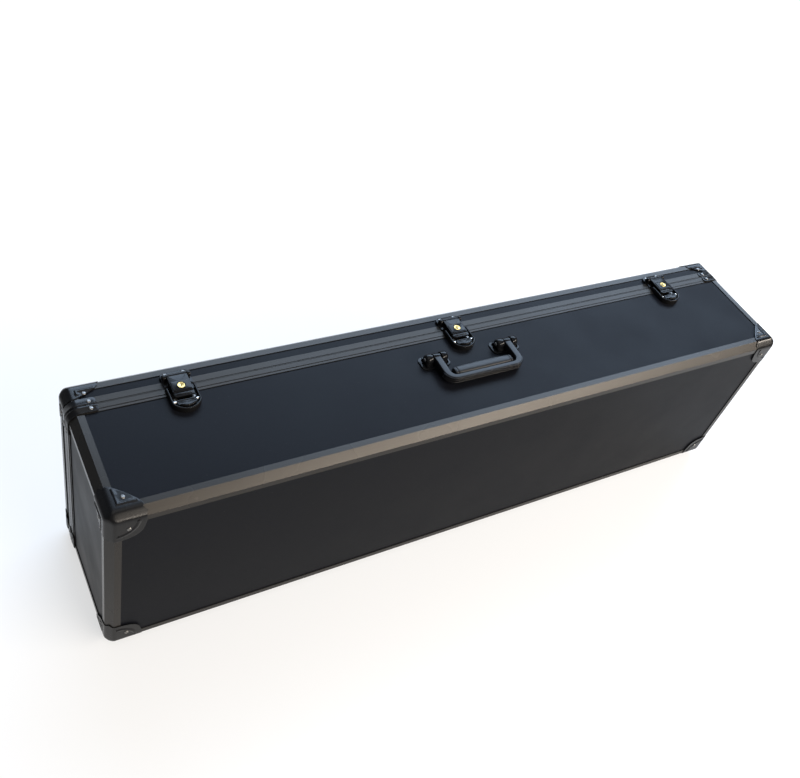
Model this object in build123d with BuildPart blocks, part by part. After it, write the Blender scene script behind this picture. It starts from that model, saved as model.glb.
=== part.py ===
from build123d import *
import os

# Long aluminium-framed transport case for a fixed wing drone's fuselage, standing on its hinge side.
# X runs along the case, -Y is the base's big face, +Y is the lid, +Z is the side with handle and
# latches. The origin is at the middle of the footprint, on the surface that the case stands on.

# ------------------------------------------------------------------ driving sizes, millimetres
CASE_LENGTH = 1160.0  # over the edge extrusions, along X
CASE_DEPTH = 220.0  # along Y, base and lid closed
CASE_HEIGHT = 310.0  # along Z, without feet and handle
LID_DEPTH = 45.0  # share of the depth that belongs to the lid
FOOT_HEIGHT = 8.0

PANEL_THICKNESS = 5.0  # laminated plywood
SKIN = 1.2  # wall of every extrusion
EDGE_CHAMFER = 10.0  # leg of the 45 degree corner of an edge extrusion
EDGE_REACH = 19.0  # from the sharp corner to the free edge of a flange

SEAM_GAP = 0.6  # between the two rims
RIM_WIDTH = 12.0
RIM_PROUD = 0.8  # rim stands out past the edge extrusions
RIM_GRIP = 7.0  # how far a panel goes into the rim
RIM_DEPTH = 9.0  # rim's inner face, from the outside of the case
RIM_LIP = 4.0  # lower step along the base rim
RIM_LINE = 1.0  # width and depth of the line rolled into the lid rim
MITRE_GAP = 0.2  # saw cut between two lengths of rim
TONGUE_OUT = 3.0  # height of the dust tongue
TONGUE_WALL = 1.6
TONGUE_INSET = 4.0  # tongue's outer face, from the outside of the case
TONGUE_CLEARANCE = 0.5

GUARD_WALL = 1.2  # corner protectors and rim brackets
GUARD_REACH = 46.0
LID_GUARD_REACH = 30.0  # the lid is shallow
GUARD_RIB = 3.0
GUARD_RIB_HEIGHT = 1.2
BRACKET_REACH = 38.0

RIVET_RADIUS = 1.6
RIVET_HEAD_RADIUS = 3.0
RIVET_HEAD_HEIGHT = 1.3
RIVET_LENGTH = 6.0
GUARD_RIVET = 27.0  # from both sharp edges
BRACKET_RIVET = 29.0

LATCH_SPACING = 435.0  # between the middle latch and each outer one
LATCH_WIDTH = 40.0
KEEPER_LENGTH = 45.0
KEEPER_STRAIGHT = 32.0  # straight part of the keeper, from the seam
KEEPER_FLOOR = 1.6
KEEPER_WALL = 3.0
KEEPER_HEIGHT = 7.0
PLATE_LENGTH = 25.0
PLATE_THICKNESS = 2.0
LATCH_RIVET_X = 12.5
KEEPER_RIVET_BACK = 23.0
PLATE_RIVET_BACK = 22.0

HASP_WIDTH = 28.0
HASP_THICKNESS = 3.2
HASP_UNDERSIDE = 6.6  # above the seat of the latch
HASP_PIVOT_BACK = 14.0  # into the lid from the seam
HASP_PIVOT_HEIGHT = 6.4
HASP_EYE_RADIUS = 4.0
HASP_TIP = 24.0  # in front of the seam
HASP_PAD_RISE = 1.0
HASP_PIN_RADIUS = 1.5
LOCK_FRONT = 7.0  # lock axis, in front of the seam
LOCK_RADIUS = 5.0
LOCK_BOSS_RADIUS = 7.0
LOCK_BOSS_BOTTOM = 3.6
CAM_LENGTH = 12.0
CAM_WIDTH = 4.0
CAM_THICKNESS = 1.2
KEY_SLOT_LENGTH = 5.0
KEY_SLOT_WIDTH = 0.9
TAB_PIVOT_FRONT = 29.0
TAB_PIVOT_HEIGHT = 4.4
TAB_WIDTH = 26.0
TAB_TIP = 41.0
TAB_PIN_RADIUS = 1.25
LIP_RISE = 3.0
RUNNING_FIT = 0.05  # radial clearance of a pin in a moving eye
SIDE_CLEARANCE = 0.5

HANDLE_SET_FORWARD = 53.0  # handle axis, in front of the seam
HANDLE_AXIS_HEIGHT = 9.5  # above the panel
ARM_X = 64.0
ARM_WIDTH = 12.0
ARM_EYE_RADIUS = 7.0
HANDLE_REACH = 50.0  # axis to the outer side of the bail, without its ribs
BAIL_THICKNESS = 12.0
BAIL_BAR = 8.0
BAIL_CORNER = 18.0
GRIP_WIDTH = 16.0
GRIP_LENGTH = 104.0
GRIP_THICKNESS = 14.0
RIDGE_RADIUS = 1.4
RIDGE_PITCH = 3.8
HANDLE_PIN_RADIUS = 2.5
HANDLE_EAR = 11.5
HANDLE_EAR_GAP = 1.5
HANDLE_EAR_RADIUS = 8.0
HANDLE_FOOT_LENGTH = 50.0
HANDLE_FOOT_WIDTH = 26.0
HANDLE_FOOT = 2.0
HANDLE_SCREW_RADIUS = 2.0
HANDLE_SCREW_X = 20.0
BACKING_PLATE = 1.5

HINGE_SPACING = 380.0
HINGE_LENGTH = 60.0
HINGE_LEAF = 1.5
HINGE_LEAF_REACH = 26.0
HINGE_KNUCKLE_RADIUS = 2.8
HINGE_KNUCKLES = 5
HINGE_DROP = 3.2  # hinge axis below the rim
HINGE_PIN_RADIUS = 1.5
KNUCKLE_GAP = 0.4

FOOT_LENGTH = 40.0
FOOT_WIDTH = 12.0
FOOT_X = 470.0

FOAM_CLEARANCE = 1.3  # foam to the heads of the handle's screws, and as much on its other sides
FOAM_BACK_CLEARANCE = 0.4  # foam to the edge extrusions behind it
FOAM_SEAM_GAP = 5.0
POCKET_DEPTH = 125.0

# ------------------------------------------------------------------ places worked out from them
END_X = CASE_LENGTH / 2
FACE_Y = CASE_DEPTH / 2
LOW_Z = FOOT_HEIGHT
TOP_Z = FOOT_HEIGHT + CASE_HEIGHT
MID_Z = (LOW_Z + TOP_Z) / 2
SEAM_Y = FACE_Y - LID_DEPTH
BASE_RIM_Y = SEAM_Y - RIM_WIDTH
LID_RIM_Y = SEAM_Y + RIM_WIDTH
PANEL_INSET = EDGE_CHAMFER + SKIN
PANEL_INNER = SKIN + PANEL_THICKNESS
FOAM_GAP = PANEL_INNER + 2 * BACKING_PLATE + FOAM_CLEARANCE  # foam to the outside of the case
FOAM_BACK_GAP = PANEL_INNER + SKIN + FOAM_BACK_CLEARANCE
PANEL_TOP_Z = TOP_Z - SKIN
LATCH_Z = TOP_Z + RIM_PROUD
LATCHES = {"left": -LATCH_SPACING, "middle": 0.0, "right": LATCH_SPACING}
HANDLE_Y = SEAM_Y - HANDLE_SET_FORWARD
HANDLE_Z = PANEL_TOP_Z + HANDLE_AXIS_HEIGHT
HINGE_Z = LOW_Z - RIM_PROUD - HINGE_DROP
HINGES = (-HINGE_SPACING, 0.0, HINGE_SPACING)

os.makedirs("parts", exist_ok=True)


def save(piece, label):
    """Name a finished piece and write its STEP file."""
    piece.part.label = label
    export_step(piece.part, f"parts/{label}.step")


def span_box(x, y, z, mode=Mode.ADD):
    """A box between two bounds on each axis."""
    with Locations(((x[0] + x[1]) / 2, (y[0] + y[1]) / 2, (z[0] + z[1]) / 2)):
        Box(x[1] - x[0], y[1] - y[0], z[1] - z[0], mode=mode)


def depth_plane(y):
    """Sketch plane across Y, centred on the case's end view: sketch x is X and sketch y is Z.
    A negative extrusion goes towards the lid."""
    return Plane(origin=(0, y, MID_Z), x_dir=(1, 0, 0), z_dir=(0, -1, 0))


def level_plane(x, y, z):
    """Sketch plane across Z: sketch x is X and sketch y is Y."""
    return Plane(origin=(x, y, z), x_dir=(1, 0, 0), z_dir=(0, 0, 1))


def cross_plane(x, y, z):
    """Sketch plane across X: sketch x is Y and sketch y is Z."""
    return Plane(origin=(x, y, z), x_dir=(0, 1, 0), z_dir=(1, 0, 0))


# ------------------------------------------------------------------ edge extrusions
def edge_outline():
    """Section of an edge extrusion, as distances from its two faces: a 45 degree corner, a flange
    over each panel, and an inner flange behind each panel."""
    inner = PANEL_INNER + SKIN
    web = EDGE_CHAMFER + SKIN
    bevel = SKIN * 2**0.5
    half = [
        (EDGE_CHAMFER, 0),
        (EDGE_REACH, 0),
        (EDGE_REACH, SKIN),
        (web, SKIN),
        (web, PANEL_INNER),
        (EDGE_REACH, PANEL_INNER),
        (EDGE_REACH, inner),
        (EDGE_CHAMFER, inner),
        (EDGE_CHAMFER, bevel),
    ]
    return half + [(v, u) for u, v in reversed(half)]


def edge_section(half_width, half_height, side_u, side_v):
    """The extrusion's outline at one corner of a rectangle, in the current line block."""
    points = [(side_u * (half_width - u), side_v * (half_height - v)) for u, v in edge_outline()]
    Polyline(*points, close=True)


def mitre(along, signs):
    """The planes that end an edge extrusion at one corner of the case: a mitre against each of its
    two neighbours, and the blunt face that the three bevels leave at the corner."""
    corner = (signs[0] * END_X, signs[1] * FACE_Y, MID_Z + signs[2] * CASE_HEIGHT / 2)
    inward = tuple(-sign for sign in signs)
    blunt = tuple(place + 2 / 3 * EDGE_CHAMFER * way for place, way in zip(corner, inward))
    planes = [Plane(origin=blunt, z_dir=inward)]
    for other in range(3):
        if other != along:
            normal = [0, 0, 0]
            normal[along] = -signs[along]
            normal[other] = signs[other]
            planes.append(Plane(origin=corner, z_dir=tuple(normal)))
    return planes


def long_edge(side_y, side_z, label):
    """An edge extrusion along X."""
    with BuildPart() as edge:
        with BuildSketch(cross_plane(0, 0, MID_Z)):
            with BuildLine():
                edge_section(FACE_Y, CASE_HEIGHT / 2, side_y, side_z)
            make_face()
        extrude(amount=END_X, both=True)
        for side_x in (-1, 1):
            for plane in mitre(0, (side_x, side_y, side_z)):
                split(bisect_by=plane, keep=Keep.TOP)
    save(edge, label)


def upright_edge(side_x, side_y, label):
    """An edge extrusion along Z."""
    with BuildPart() as edge:
        with BuildSketch(Plane.XY.offset(MID_Z)):
            with BuildLine():
                edge_section(END_X, FACE_Y, side_x, side_y)
            make_face()
        extrude(amount=CASE_HEIGHT / 2, both=True)
        for side_z in (-1, 1):
            for plane in mitre(2, (side_x, side_y, side_z)):
                split(bisect_by=plane, keep=Keep.TOP)
    save(edge, label)


def short_edge(side_x, side_y, side_z, rim_y):
    """An edge extrusion along Y, from a corner of one face to the rim."""
    face_y = side_y * FACE_Y
    with BuildPart() as edge:
        with BuildSketch(depth_plane(face_y)):
            with BuildLine():
                edge_section(END_X, CASE_HEIGHT / 2, side_x, side_z)
            make_face()
        extrude(amount=face_y - rim_y)
        for plane in mitre(1, (side_x, side_y, side_z)):
            split(bisect_by=plane, keep=Keep.TOP)
    return edge.part


def short_edges(side_y, rim_y, label):
    """The four edge extrusions along Y of one half."""
    lengths = [short_edge(x, side_y, z, rim_y) for x in (-1, 1) for z in (-1, 1)]
    with BuildPart() as edges:
        add(lengths)
    save(edges, label)


for half, side_y, rim_y in (("base", -1, BASE_RIM_Y), ("lid", 1, LID_RIM_Y)):
    long_edge(side_y, 1, f"{half}_top_edge")
    long_edge(side_y, -1, f"{half}_bottom_edge")
    upright_edge(-1, side_y, f"{half}_left_edge")
    upright_edge(1, side_y, f"{half}_right_edge")
    short_edges(side_y, rim_y, f"{half}_short_edges")


# ------------------------------------------------------------------ rivets
def rivet_place(position, outward):
    """Where a rivet's head sits, with its z axis pointing out of the case."""
    return Plane(origin=position, z_dir=outward).location


def guard_rivets(side_y, reach):
    """Rivets of the four corner protectors of one half, one on each face."""
    places = []
    face_set = min(GUARD_RIVET, reach - 2 * RIVET_HEAD_RADIUS)
    for side_x in (-1, 1):
        for side_z in (-1, 1):
            x = side_x * (END_X - GUARD_RIVET)
            y = side_y * (FACE_Y - face_set)
            z = MID_Z + side_z * (CASE_HEIGHT / 2 - GUARD_RIVET)
            out = GUARD_WALL
            places.append(rivet_place((x, y, MID_Z + side_z * (CASE_HEIGHT / 2 + out)), (0, 0, side_z)))
            places.append(rivet_place((x, side_y * (FACE_Y + out), z), (0, side_y, 0)))
            places.append(rivet_place((side_x * (END_X + out), y, z), (side_x, 0, 0)))
    return places


def bracket_rivets(side_y):
    """Rivets of the four rim brackets of one half, two each."""
    places = []
    y = SEAM_Y + side_y * RIM_WIDTH / 2
    out = RIM_PROUD + GUARD_WALL
    for side_x in (-1, 1):
        for side_z in (-1, 1):
            x = side_x * (END_X - BRACKET_RIVET)
            z = MID_Z + side_z * (CASE_HEIGHT / 2 - BRACKET_RIVET)
            places.append(rivet_place((x, y, MID_Z + side_z * (CASE_HEIGHT / 2 + out)), (0, 0, side_z)))
            places.append(rivet_place((side_x * (END_X + out), y, z), (side_x, 0, 0)))
    return places


def latch_rivets(y, height):
    """Two rivets across each latch."""
    return [
        rivet_place((x + side * LATCH_RIVET_X, y, LATCH_Z + height), (0, 0, 1))
        for x in LATCHES.values()
        for side in (-1, 1)
    ]


def hinge_rivets(side_y):
    """Three rivets in each hinge leaf."""
    y = SEAM_Y + side_y * (RIM_WIDTH + (HINGE_LEAF_REACH - RIM_WIDTH) / 2)
    z = LOW_Z - RIM_PROUD - HINGE_LEAF
    pitch = HINGE_LENGTH / 3
    return [rivet_place((x + step * pitch, y, z), (0, 0, -1)) for x in HINGES for step in (-1, 0, 1)]


RIVETS = {
    "base": guard_rivets(-1, GUARD_REACH)
    + bracket_rivets(-1)
    + latch_rivets(SEAM_Y - KEEPER_RIVET_BACK, KEEPER_FLOOR)
    + hinge_rivets(-1),
    "lid": guard_rivets(1, LID_GUARD_REACH)
    + bracket_rivets(1)
    + latch_rivets(SEAM_Y + PLATE_RIVET_BACK, PLATE_THICKNESS)
    + hinge_rivets(1),
}

with BuildPart() as rivet_blank:
    Cylinder(RIVET_HEAD_RADIUS, RIVET_HEAD_HEIGHT, align=(Align.CENTER, Align.CENTER, Align.MIN))
    fillet(rivet_blank.edges().sort_by(Axis.Z)[-1], radius=RIVET_HEAD_HEIGHT * 0.8)
    Cylinder(RIVET_RADIUS, RIVET_LENGTH, align=(Align.CENTER, Align.CENTER, Align.MAX))

SHANKS = {}
for half, places in RIVETS.items():
    with BuildPart() as rivets:
        with Locations(*places):
            add(rivet_blank.part)
    save(rivets, f"{half}_rivets")
    with BuildPart() as shanks:
        with Locations(*places):
            Cylinder(RIVET_RADIUS, RIVET_LENGTH, align=(Align.CENTER, Align.CENTER, Align.MAX))
    SHANKS[half] = shanks.part

# ------------------------------------------------------------------ handle screws and backing plate
with BuildPart() as handle_screws:
    for side in (-1, 1):
        for step in (-1, 1):
            x = side * ARM_X + step * HANDLE_SCREW_X
            with Locations((x, HANDLE_Y, TOP_Z - PANEL_INNER - BACKING_PLATE)):
                Cylinder(
                    HANDLE_SCREW_RADIUS,
                    BACKING_PLATE + PANEL_THICKNESS + HANDLE_FOOT,
                    align=(Align.CENTER, Align.CENTER, Align.MIN),
                )
                Cylinder(2 * HANDLE_SCREW_RADIUS, BACKING_PLATE, align=(Align.CENTER, Align.CENTER, Align.MAX))
save(handle_screws, "handle_screws")

with BuildPart() as handle_backing_plate:
    reach_x = ARM_X + HANDLE_FOOT_LENGTH / 2
    span_box(
        (-reach_x, reach_x),
        (HANDLE_Y - HANDLE_FOOT_WIDTH / 2, HANDLE_Y + HANDLE_FOOT_WIDTH / 2),
        (TOP_Z - PANEL_INNER - BACKING_PLATE, TOP_Z - PANEL_INNER),
    )
    fillet(handle_backing_plate.edges().filter_by(Axis.Z), radius=HANDLE_FOOT_WIDTH / 4)
    add(handle_screws.part, mode=Mode.SUBTRACT)
save(handle_backing_plate, "handle_backing_plate")


# ------------------------------------------------------------------ panels
def panel(x, y, z, label, tools):
    """A flat panel with the holes of the fasteners that pass it."""
    with BuildPart() as sheet:
        span_box(x, y, z)
        for tool in tools:
            add(tool, mode=Mode.SUBTRACT)
    save(sheet, label)


def half_panels(half, side_y, rim_end, tools):
    """The big face and the four sides of one half; the sides run from the face's edge into the rim."""
    long_x = (-END_X + PANEL_INSET, END_X - PANEL_INSET)
    tall_z = (LOW_Z + PANEL_INSET, TOP_Z - PANEL_INSET)
    face_y = sorted((side_y * (FACE_Y - SKIN), side_y * (FACE_Y - PANEL_INNER)))
    side_span = sorted((side_y * (FACE_Y - PANEL_INSET), rim_end))
    panel(long_x, face_y, tall_z, f"{half}_face_panel", tools)
    panel(long_x, side_span, (TOP_Z - PANEL_INNER, TOP_Z - SKIN), f"{half}_top_panel", tools)
    panel(long_x, side_span, (LOW_Z + SKIN, LOW_Z + PANEL_INNER), f"{half}_bottom_panel", tools)
    panel((-END_X + SKIN, -END_X + PANEL_INNER), side_span, tall_z, f"{half}_left_panel", tools)
    panel((END_X - PANEL_INNER, END_X - SKIN), side_span, tall_z, f"{half}_right_panel", tools)


half_panels("base", -1, BASE_RIM_Y + RIM_GRIP, [SHANKS["base"], handle_screws.part])
half_panels("lid", 1, LID_RIM_Y - RIM_GRIP, [SHANKS["lid"]])


# ------------------------------------------------------------------ rims
def grown_chamfer(grow):
    """Leg of the case's corner chamfer on an outline that stands out by grow."""
    return EDGE_CHAMFER + grow * (2 - 2**0.5)


def ring(y_from, y_to, outer, inner, mode=Mode.ADD):
    """A flat ring round the case between two depths and two outlines."""
    with BuildSketch(depth_plane(y_from)) as section:
        Rectangle(CASE_LENGTH + 2 * outer, CASE_HEIGHT + 2 * outer)
        chamfer(section.vertices(), length=grown_chamfer(outer))
        Rectangle(CASE_LENGTH + 2 * inner, CASE_HEIGHT + 2 * inner, mode=Mode.SUBTRACT)
    extrude(section.sketch, amount=y_from - y_to, mode=mode)


def rim_slots(y_from, y_to):
    """Slots in a rim that take the edges of the four side panels."""
    long_x = (-END_X + PANEL_INSET, END_X - PANEL_INSET)
    tall_z = (LOW_Z + PANEL_INSET, TOP_Z - PANEL_INSET)
    depth = sorted((y_from, y_to))
    span_box(long_x, depth, (TOP_Z - PANEL_INNER, TOP_Z - SKIN), mode=Mode.SUBTRACT)
    span_box(long_x, depth, (LOW_Z + SKIN, LOW_Z + PANEL_INNER), mode=Mode.SUBTRACT)
    span_box((-END_X + SKIN, -END_X + PANEL_INNER), depth, tall_z, mode=Mode.SUBTRACT)
    span_box((END_X - PANEL_INNER, END_X - SKIN), depth, tall_z, mode=Mode.SUBTRACT)


def mitre_cuts():
    """Thin diagonal cuts that divide a rim into four lengths."""
    for side_x in (-1, 1):
        for side_z in (-1, 1):
            corner = Location((side_x * END_X, SEAM_Y, MID_Z + side_z * CASE_HEIGHT / 2), (0, side_x * side_z * 45, 0))
            with Locations(corner):
                Box(MITRE_GAP, 4 * RIM_WIDTH, 4 * EDGE_REACH, mode=Mode.SUBTRACT)


def tongue_zone(clearance):
    """Inner and outer inset of the dust tongue, or of the groove that takes it."""
    return TONGUE_INSET - clearance, TONGUE_INSET + TONGUE_WALL + clearance


HINGE_SIDE_TOP = LOW_Z + EDGE_REACH  # the tongue stops here, so that the hinge side can swing

with BuildPart() as base_rim:
    ring(BASE_RIM_Y + RIM_LIP, SEAM_Y - SEAM_GAP / 2, RIM_PROUD, -RIM_DEPTH)
    ring(BASE_RIM_Y, BASE_RIM_Y + RIM_LIP, 0, -RIM_DEPTH)
    outer, inner = tongue_zone(0)
    ring(SEAM_Y - SEAM_GAP / 2, SEAM_Y + TONGUE_OUT, -outer, -inner)
    span_box(
        (-END_X, END_X),
        (SEAM_Y - SEAM_GAP / 2, SEAM_Y + 2 * TONGUE_OUT),
        (LOW_Z - RIM_WIDTH, HINGE_SIDE_TOP),
        mode=Mode.SUBTRACT,
    )
    rim_slots(BASE_RIM_Y, BASE_RIM_Y + RIM_GRIP)
    mitre_cuts()
    add(SHANKS["base"], mode=Mode.SUBTRACT)
save(base_rim, "base_rim")

with BuildPart() as lid_rim:
    ring(SEAM_Y + SEAM_GAP / 2, LID_RIM_Y, RIM_PROUD, -RIM_DEPTH)
    outer, inner = tongue_zone(TONGUE_CLEARANCE)
    ring(SEAM_Y, SEAM_Y + TONGUE_OUT + TONGUE_CLEARANCE, -outer, -inner, mode=Mode.SUBTRACT)
    line_y = SEAM_Y + SEAM_GAP / 2 + RIM_LINE
    ring(line_y, line_y + RIM_LINE, RIM_PROUD + 1, RIM_PROUD - RIM_LINE, mode=Mode.SUBTRACT)
    rim_slots(LID_RIM_Y, LID_RIM_Y - RIM_GRIP)
    mitre_cuts()
    add(SHANKS["lid"], mode=Mode.SUBTRACT)
save(lid_rim, "lid_rim")


# ------------------------------------------------------------------ corner protectors and rim brackets
def bevelled_block(low, high, chamfer_leg):
    """A block from low to high with its three edges at the low corner bevelled."""
    with BuildPart() as block:
        span_box((low, high[0]), (low, high[1]), (low, high[2]))
        near = []
        for axis, others in ((Axis.X, "YZ"), (Axis.Y, "XZ"), (Axis.Z, "XY")):
            edges = block.edges().filter_by(axis)
            for other in others:
                edges = edges.group_by(getattr(Axis, other))[0]
            near += edges
        chamfer(near, length=chamfer_leg)
    return block.part


def guard_blank(reach_y):
    """One corner protector with the case's sharp corner at the origin and the case along +X, +Y, +Z."""
    reach = (GUARD_REACH, reach_y, GUARD_REACH)
    outside = bevelled_block(-GUARD_WALL, reach, grown_chamfer(GUARD_WALL))
    inside = bevelled_block(0, tuple(2 * value for value in reach), EDGE_CHAMFER)
    with BuildPart() as guard:
        add(outside)
        add(inside, mode=Mode.SUBTRACT)
        for across, u, v in ((Plane.XY, 0, 1), (Plane.XZ, 0, 2), (Plane.YZ, 1, 2)):
            reach_u, reach_v = reach[u], reach[v]
            start_u, start_v = EDGE_REACH - GUARD_RIB, EDGE_REACH - GUARD_RIB
            outward = across.z_dir
            sign = -1 if outward.X + outward.Y + outward.Z > 0 else 1
            # the flange's free corner is cut away on the slope between its two free edges
            with BuildSketch(across):
                with BuildLine():
                    Polyline(
                        (reach_u + 1, start_v),
                        (reach_u + 1, reach_v + 1),
                        (start_u, reach_v + 1),
                        (start_u, reach_v),
                        (reach_u, start_v),
                        close=True,
                    )
                make_face()
            extrude(amount=sign * 2 * GUARD_WALL, mode=Mode.SUBTRACT)
            # behind the flange, a pad reaches down to the panel
            pad_u, pad_v = EDGE_REACH, EDGE_REACH
            fall = (reach_v - start_v) / (reach_u - start_u)
            with BuildSketch(across):
                with BuildLine():
                    Polyline(
                        (pad_u, pad_v),
                        (reach_u - (pad_v - start_v) / fall, pad_v),
                        (pad_u, reach_v - (pad_u - start_u) * fall),
                        close=True,
                    )
                make_face()
            extrude(amount=-sign * SKIN)
            # a rib along both edge extrusions, over the flange
            with BuildSketch(across.offset(sign * GUARD_WALL)):
                with BuildLine():
                    Polyline(
                        (start_u, start_v),
                        (reach_u - 1, start_v),
                        (reach_u - GUARD_RIB - 1, start_v + GUARD_RIB),
                        (start_u + GUARD_RIB, start_v + GUARD_RIB),
                        (start_u + GUARD_RIB, reach_v - GUARD_RIB - 1),
                        (start_u, reach_v - 1),
                        close=True,
                    )
                make_face()
            extrude(amount=sign * GUARD_RIB_HEIGHT)
    return guard.part


def place_at_corners(blank, side_y):
    """Put the blank at the left lower corner of one face and mirror it to the other three."""
    placed = blank if side_y < 0 else mirror(blank, about=Plane.XZ, mode=Mode.PRIVATE)
    with BuildPart() as group:
        add(Location((-END_X, side_y * FACE_Y, LOW_Z)) * placed)
        mirror(about=Plane.YZ)
        mirror(about=Plane.XY.offset(MID_Z))
    return group.part


LID_REACH = min(LID_GUARD_REACH, LID_DEPTH - RIM_WIDTH - 1)

for half, side_y, reach_y in (("base", -1, GUARD_REACH), ("lid", 1, LID_REACH)):
    four_guards = place_at_corners(guard_blank(reach_y), side_y)
    with BuildPart() as corner_protectors:
        add(four_guards)
        add(SHANKS[half], mode=Mode.SUBTRACT)
    save(corner_protectors, f"{half}_corner_protectors")

for half, y_from, y_to in (
    ("base", BASE_RIM_Y, SEAM_Y - SEAM_GAP / 2),
    ("lid", SEAM_Y + SEAM_GAP / 2, LID_RIM_Y),
):
    with BuildSketch() as hollow:
        Rectangle(CASE_LENGTH + 2 * RIM_PROUD, CASE_HEIGHT + 2 * RIM_PROUD)
        chamfer(hollow.vertices(), length=grown_chamfer(RIM_PROUD))
    with BuildPart() as rim_brackets:
        with BuildSketch(depth_plane(y_from)) as section:
            grown = RIM_PROUD + GUARD_WALL
            Rectangle(CASE_LENGTH + 2 * grown, CASE_HEIGHT + 2 * grown)
            chamfer(section.vertices(), length=grown_chamfer(grown))
            add(hollow.sketch, mode=Mode.SUBTRACT)
            Rectangle(CASE_LENGTH - 2 * BRACKET_REACH, 2 * CASE_HEIGHT, mode=Mode.SUBTRACT)
            Rectangle(2 * CASE_LENGTH, CASE_HEIGHT - 2 * BRACKET_REACH, mode=Mode.SUBTRACT)
        extrude(amount=y_from - y_to)
        add(SHANKS[half], mode=Mode.SUBTRACT)
    save(rim_brackets, f"{half}_rim_brackets")


# ------------------------------------------------------------------ latches
def shield(half_width, seam_end, straight, tip):
    """Outline of a latch part seen from above: straight sides from the seam, and a round end."""
    with BuildLine(Plane.XY, mode=Mode.PRIVATE) as outline:
        Line((-half_width, seam_end), (half_width, seam_end))
        Line((half_width, seam_end), (half_width, -straight))
        ThreePointArc((half_width, -straight), (0, -tip), (-half_width, -straight))
        Line((-half_width, -straight), (-half_width, seam_end))
    make_face(outline.edges())


def latch_plane(x, height):
    """Sketch plane on a latch, from the seam, at a height above the latch's seat."""
    return level_plane(x, SEAM_Y, LATCH_Z + height)


def side_plane(x):
    """Sketch plane through a latch, across X: sketch x is Y from the seam, y is Z from the seat."""
    return cross_plane(x, SEAM_Y, LATCH_Z)


LATCH_SINK = RIM_PROUD + SKIN  # from the latch's seat on the rim down to the panel
SEAM_HALF = SEAM_GAP / 2 + SIDE_CLEARANCE

with BuildPart() as latch_keepers:
    for x in LATCHES.values():
        with BuildSketch(latch_plane(x, 0)):
            shield(LATCH_WIDTH / 2, -SEAM_HALF, KEEPER_STRAIGHT, KEEPER_LENGTH)
        extrude(amount=KEEPER_HEIGHT)
        with BuildSketch(latch_plane(x, KEEPER_FLOOR)):
            shield(
                LATCH_WIDTH / 2 - KEEPER_WALL, KEEPER_WALL, KEEPER_STRAIGHT, KEEPER_LENGTH - KEEPER_WALL
            )
        extrude(amount=KEEPER_HEIGHT, mode=Mode.SUBTRACT)
        with BuildSketch(latch_plane(x, -LATCH_SINK)):
            shield(LATCH_WIDTH / 2, -RIM_WIDTH, KEEPER_STRAIGHT, KEEPER_LENGTH)
        extrude(amount=LATCH_SINK)
        # the base rim's low lip leaves a shallow step under the keeper
        # bore for the tab's pin
        with Locations(Location((x, SEAM_Y - TAB_PIVOT_FRONT, LATCH_Z + TAB_PIVOT_HEIGHT), (0, 90, 0))):
            Cylinder(TAB_PIN_RADIUS, LATCH_WIDTH - KEEPER_WALL, mode=Mode.SUBTRACT)
    add(SHANKS["base"], mode=Mode.SUBTRACT)
save(latch_keepers, "latch_keepers")

# a ledge on the inside of each keeper's wall, which the lock's cam turns under
with BuildPart() as latch_strikes:
    for x in LATCHES.values():
        strike_z = LATCH_Z + LOCK_BOSS_BOTTOM + SIDE_CLEARANCE
        span_box(
            (x + LOCK_BOSS_RADIUS + 1.5, x + LATCH_WIDTH / 2 - KEEPER_WALL),
            (SEAM_Y - LOCK_FRONT - CAM_WIDTH, SEAM_Y - LOCK_FRONT + CAM_WIDTH / 2),
            (strike_z, strike_z + CAM_THICKNESS),
        )
save(latch_strikes, "latch_strikes")

with BuildPart() as latch_tab_pins:
    for x in LATCHES.values():
        with Locations(Location((x, SEAM_Y - TAB_PIVOT_FRONT, LATCH_Z + TAB_PIVOT_HEIGHT), (0, 90, 0))):
            Cylinder(TAB_PIN_RADIUS, LATCH_WIDTH - KEEPER_WALL)
save(latch_tab_pins, "latch_tab_pins")

EAR_INNER = HASP_WIDTH / 2 + SIDE_CLEARANCE
EAR_OUTER = LATCH_WIDTH / 2 - 1

with BuildPart() as latch_lid_plates:
    for x in LATCHES.values():
        near = SEAM_Y + SEAM_HALF
        far = near + PLATE_LENGTH
        width = (x - LATCH_WIDTH / 2, x + LATCH_WIDTH / 2)
        span_box(width, (near, far), (LATCH_Z, LATCH_Z + PLATE_THICKNESS))
        pad_far = min(far, FACE_Y - EDGE_REACH)
        span_box(width, (LID_RIM_Y, pad_far), (LATCH_Z - LATCH_SINK, LATCH_Z))
        for side in (-1, 1):
            middle = x + side * (EAR_INNER + EAR_OUTER) / 2
            with BuildSketch(side_plane(middle)):
                with Locations((HASP_PIVOT_BACK, HASP_PIVOT_HEIGHT)):
                    Circle(HASP_EYE_RADIUS)
                with Locations((HASP_PIVOT_BACK, HASP_PIVOT_HEIGHT / 2)):
                    Rectangle(2 * HASP_EYE_RADIUS, HASP_PIVOT_HEIGHT)
            extrude(amount=(EAR_OUTER - EAR_INNER) / 2, both=True)
        with Locations(Location((x, SEAM_Y + HASP_PIVOT_BACK, LATCH_Z + HASP_PIVOT_HEIGHT), (0, 90, 0))):
            Cylinder(HASP_PIN_RADIUS, 2 * EAR_OUTER - 2, mode=Mode.SUBTRACT)
    add(SHANKS["lid"], mode=Mode.SUBTRACT)
save(latch_lid_plates, "latch_lid_plates")

with BuildPart() as latch_hasp_pins:
    for x in LATCHES.values():
        with Locations(Location((x, SEAM_Y + HASP_PIVOT_BACK, LATCH_Z + HASP_PIVOT_HEIGHT), (0, 90, 0))):
            Cylinder(HASP_PIN_RADIUS, 2 * EAR_OUTER - 2)
save(latch_hasp_pins, "latch_hasp_pins")

HASP_TOP = HASP_UNDERSIDE + HASP_THICKNESS

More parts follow.
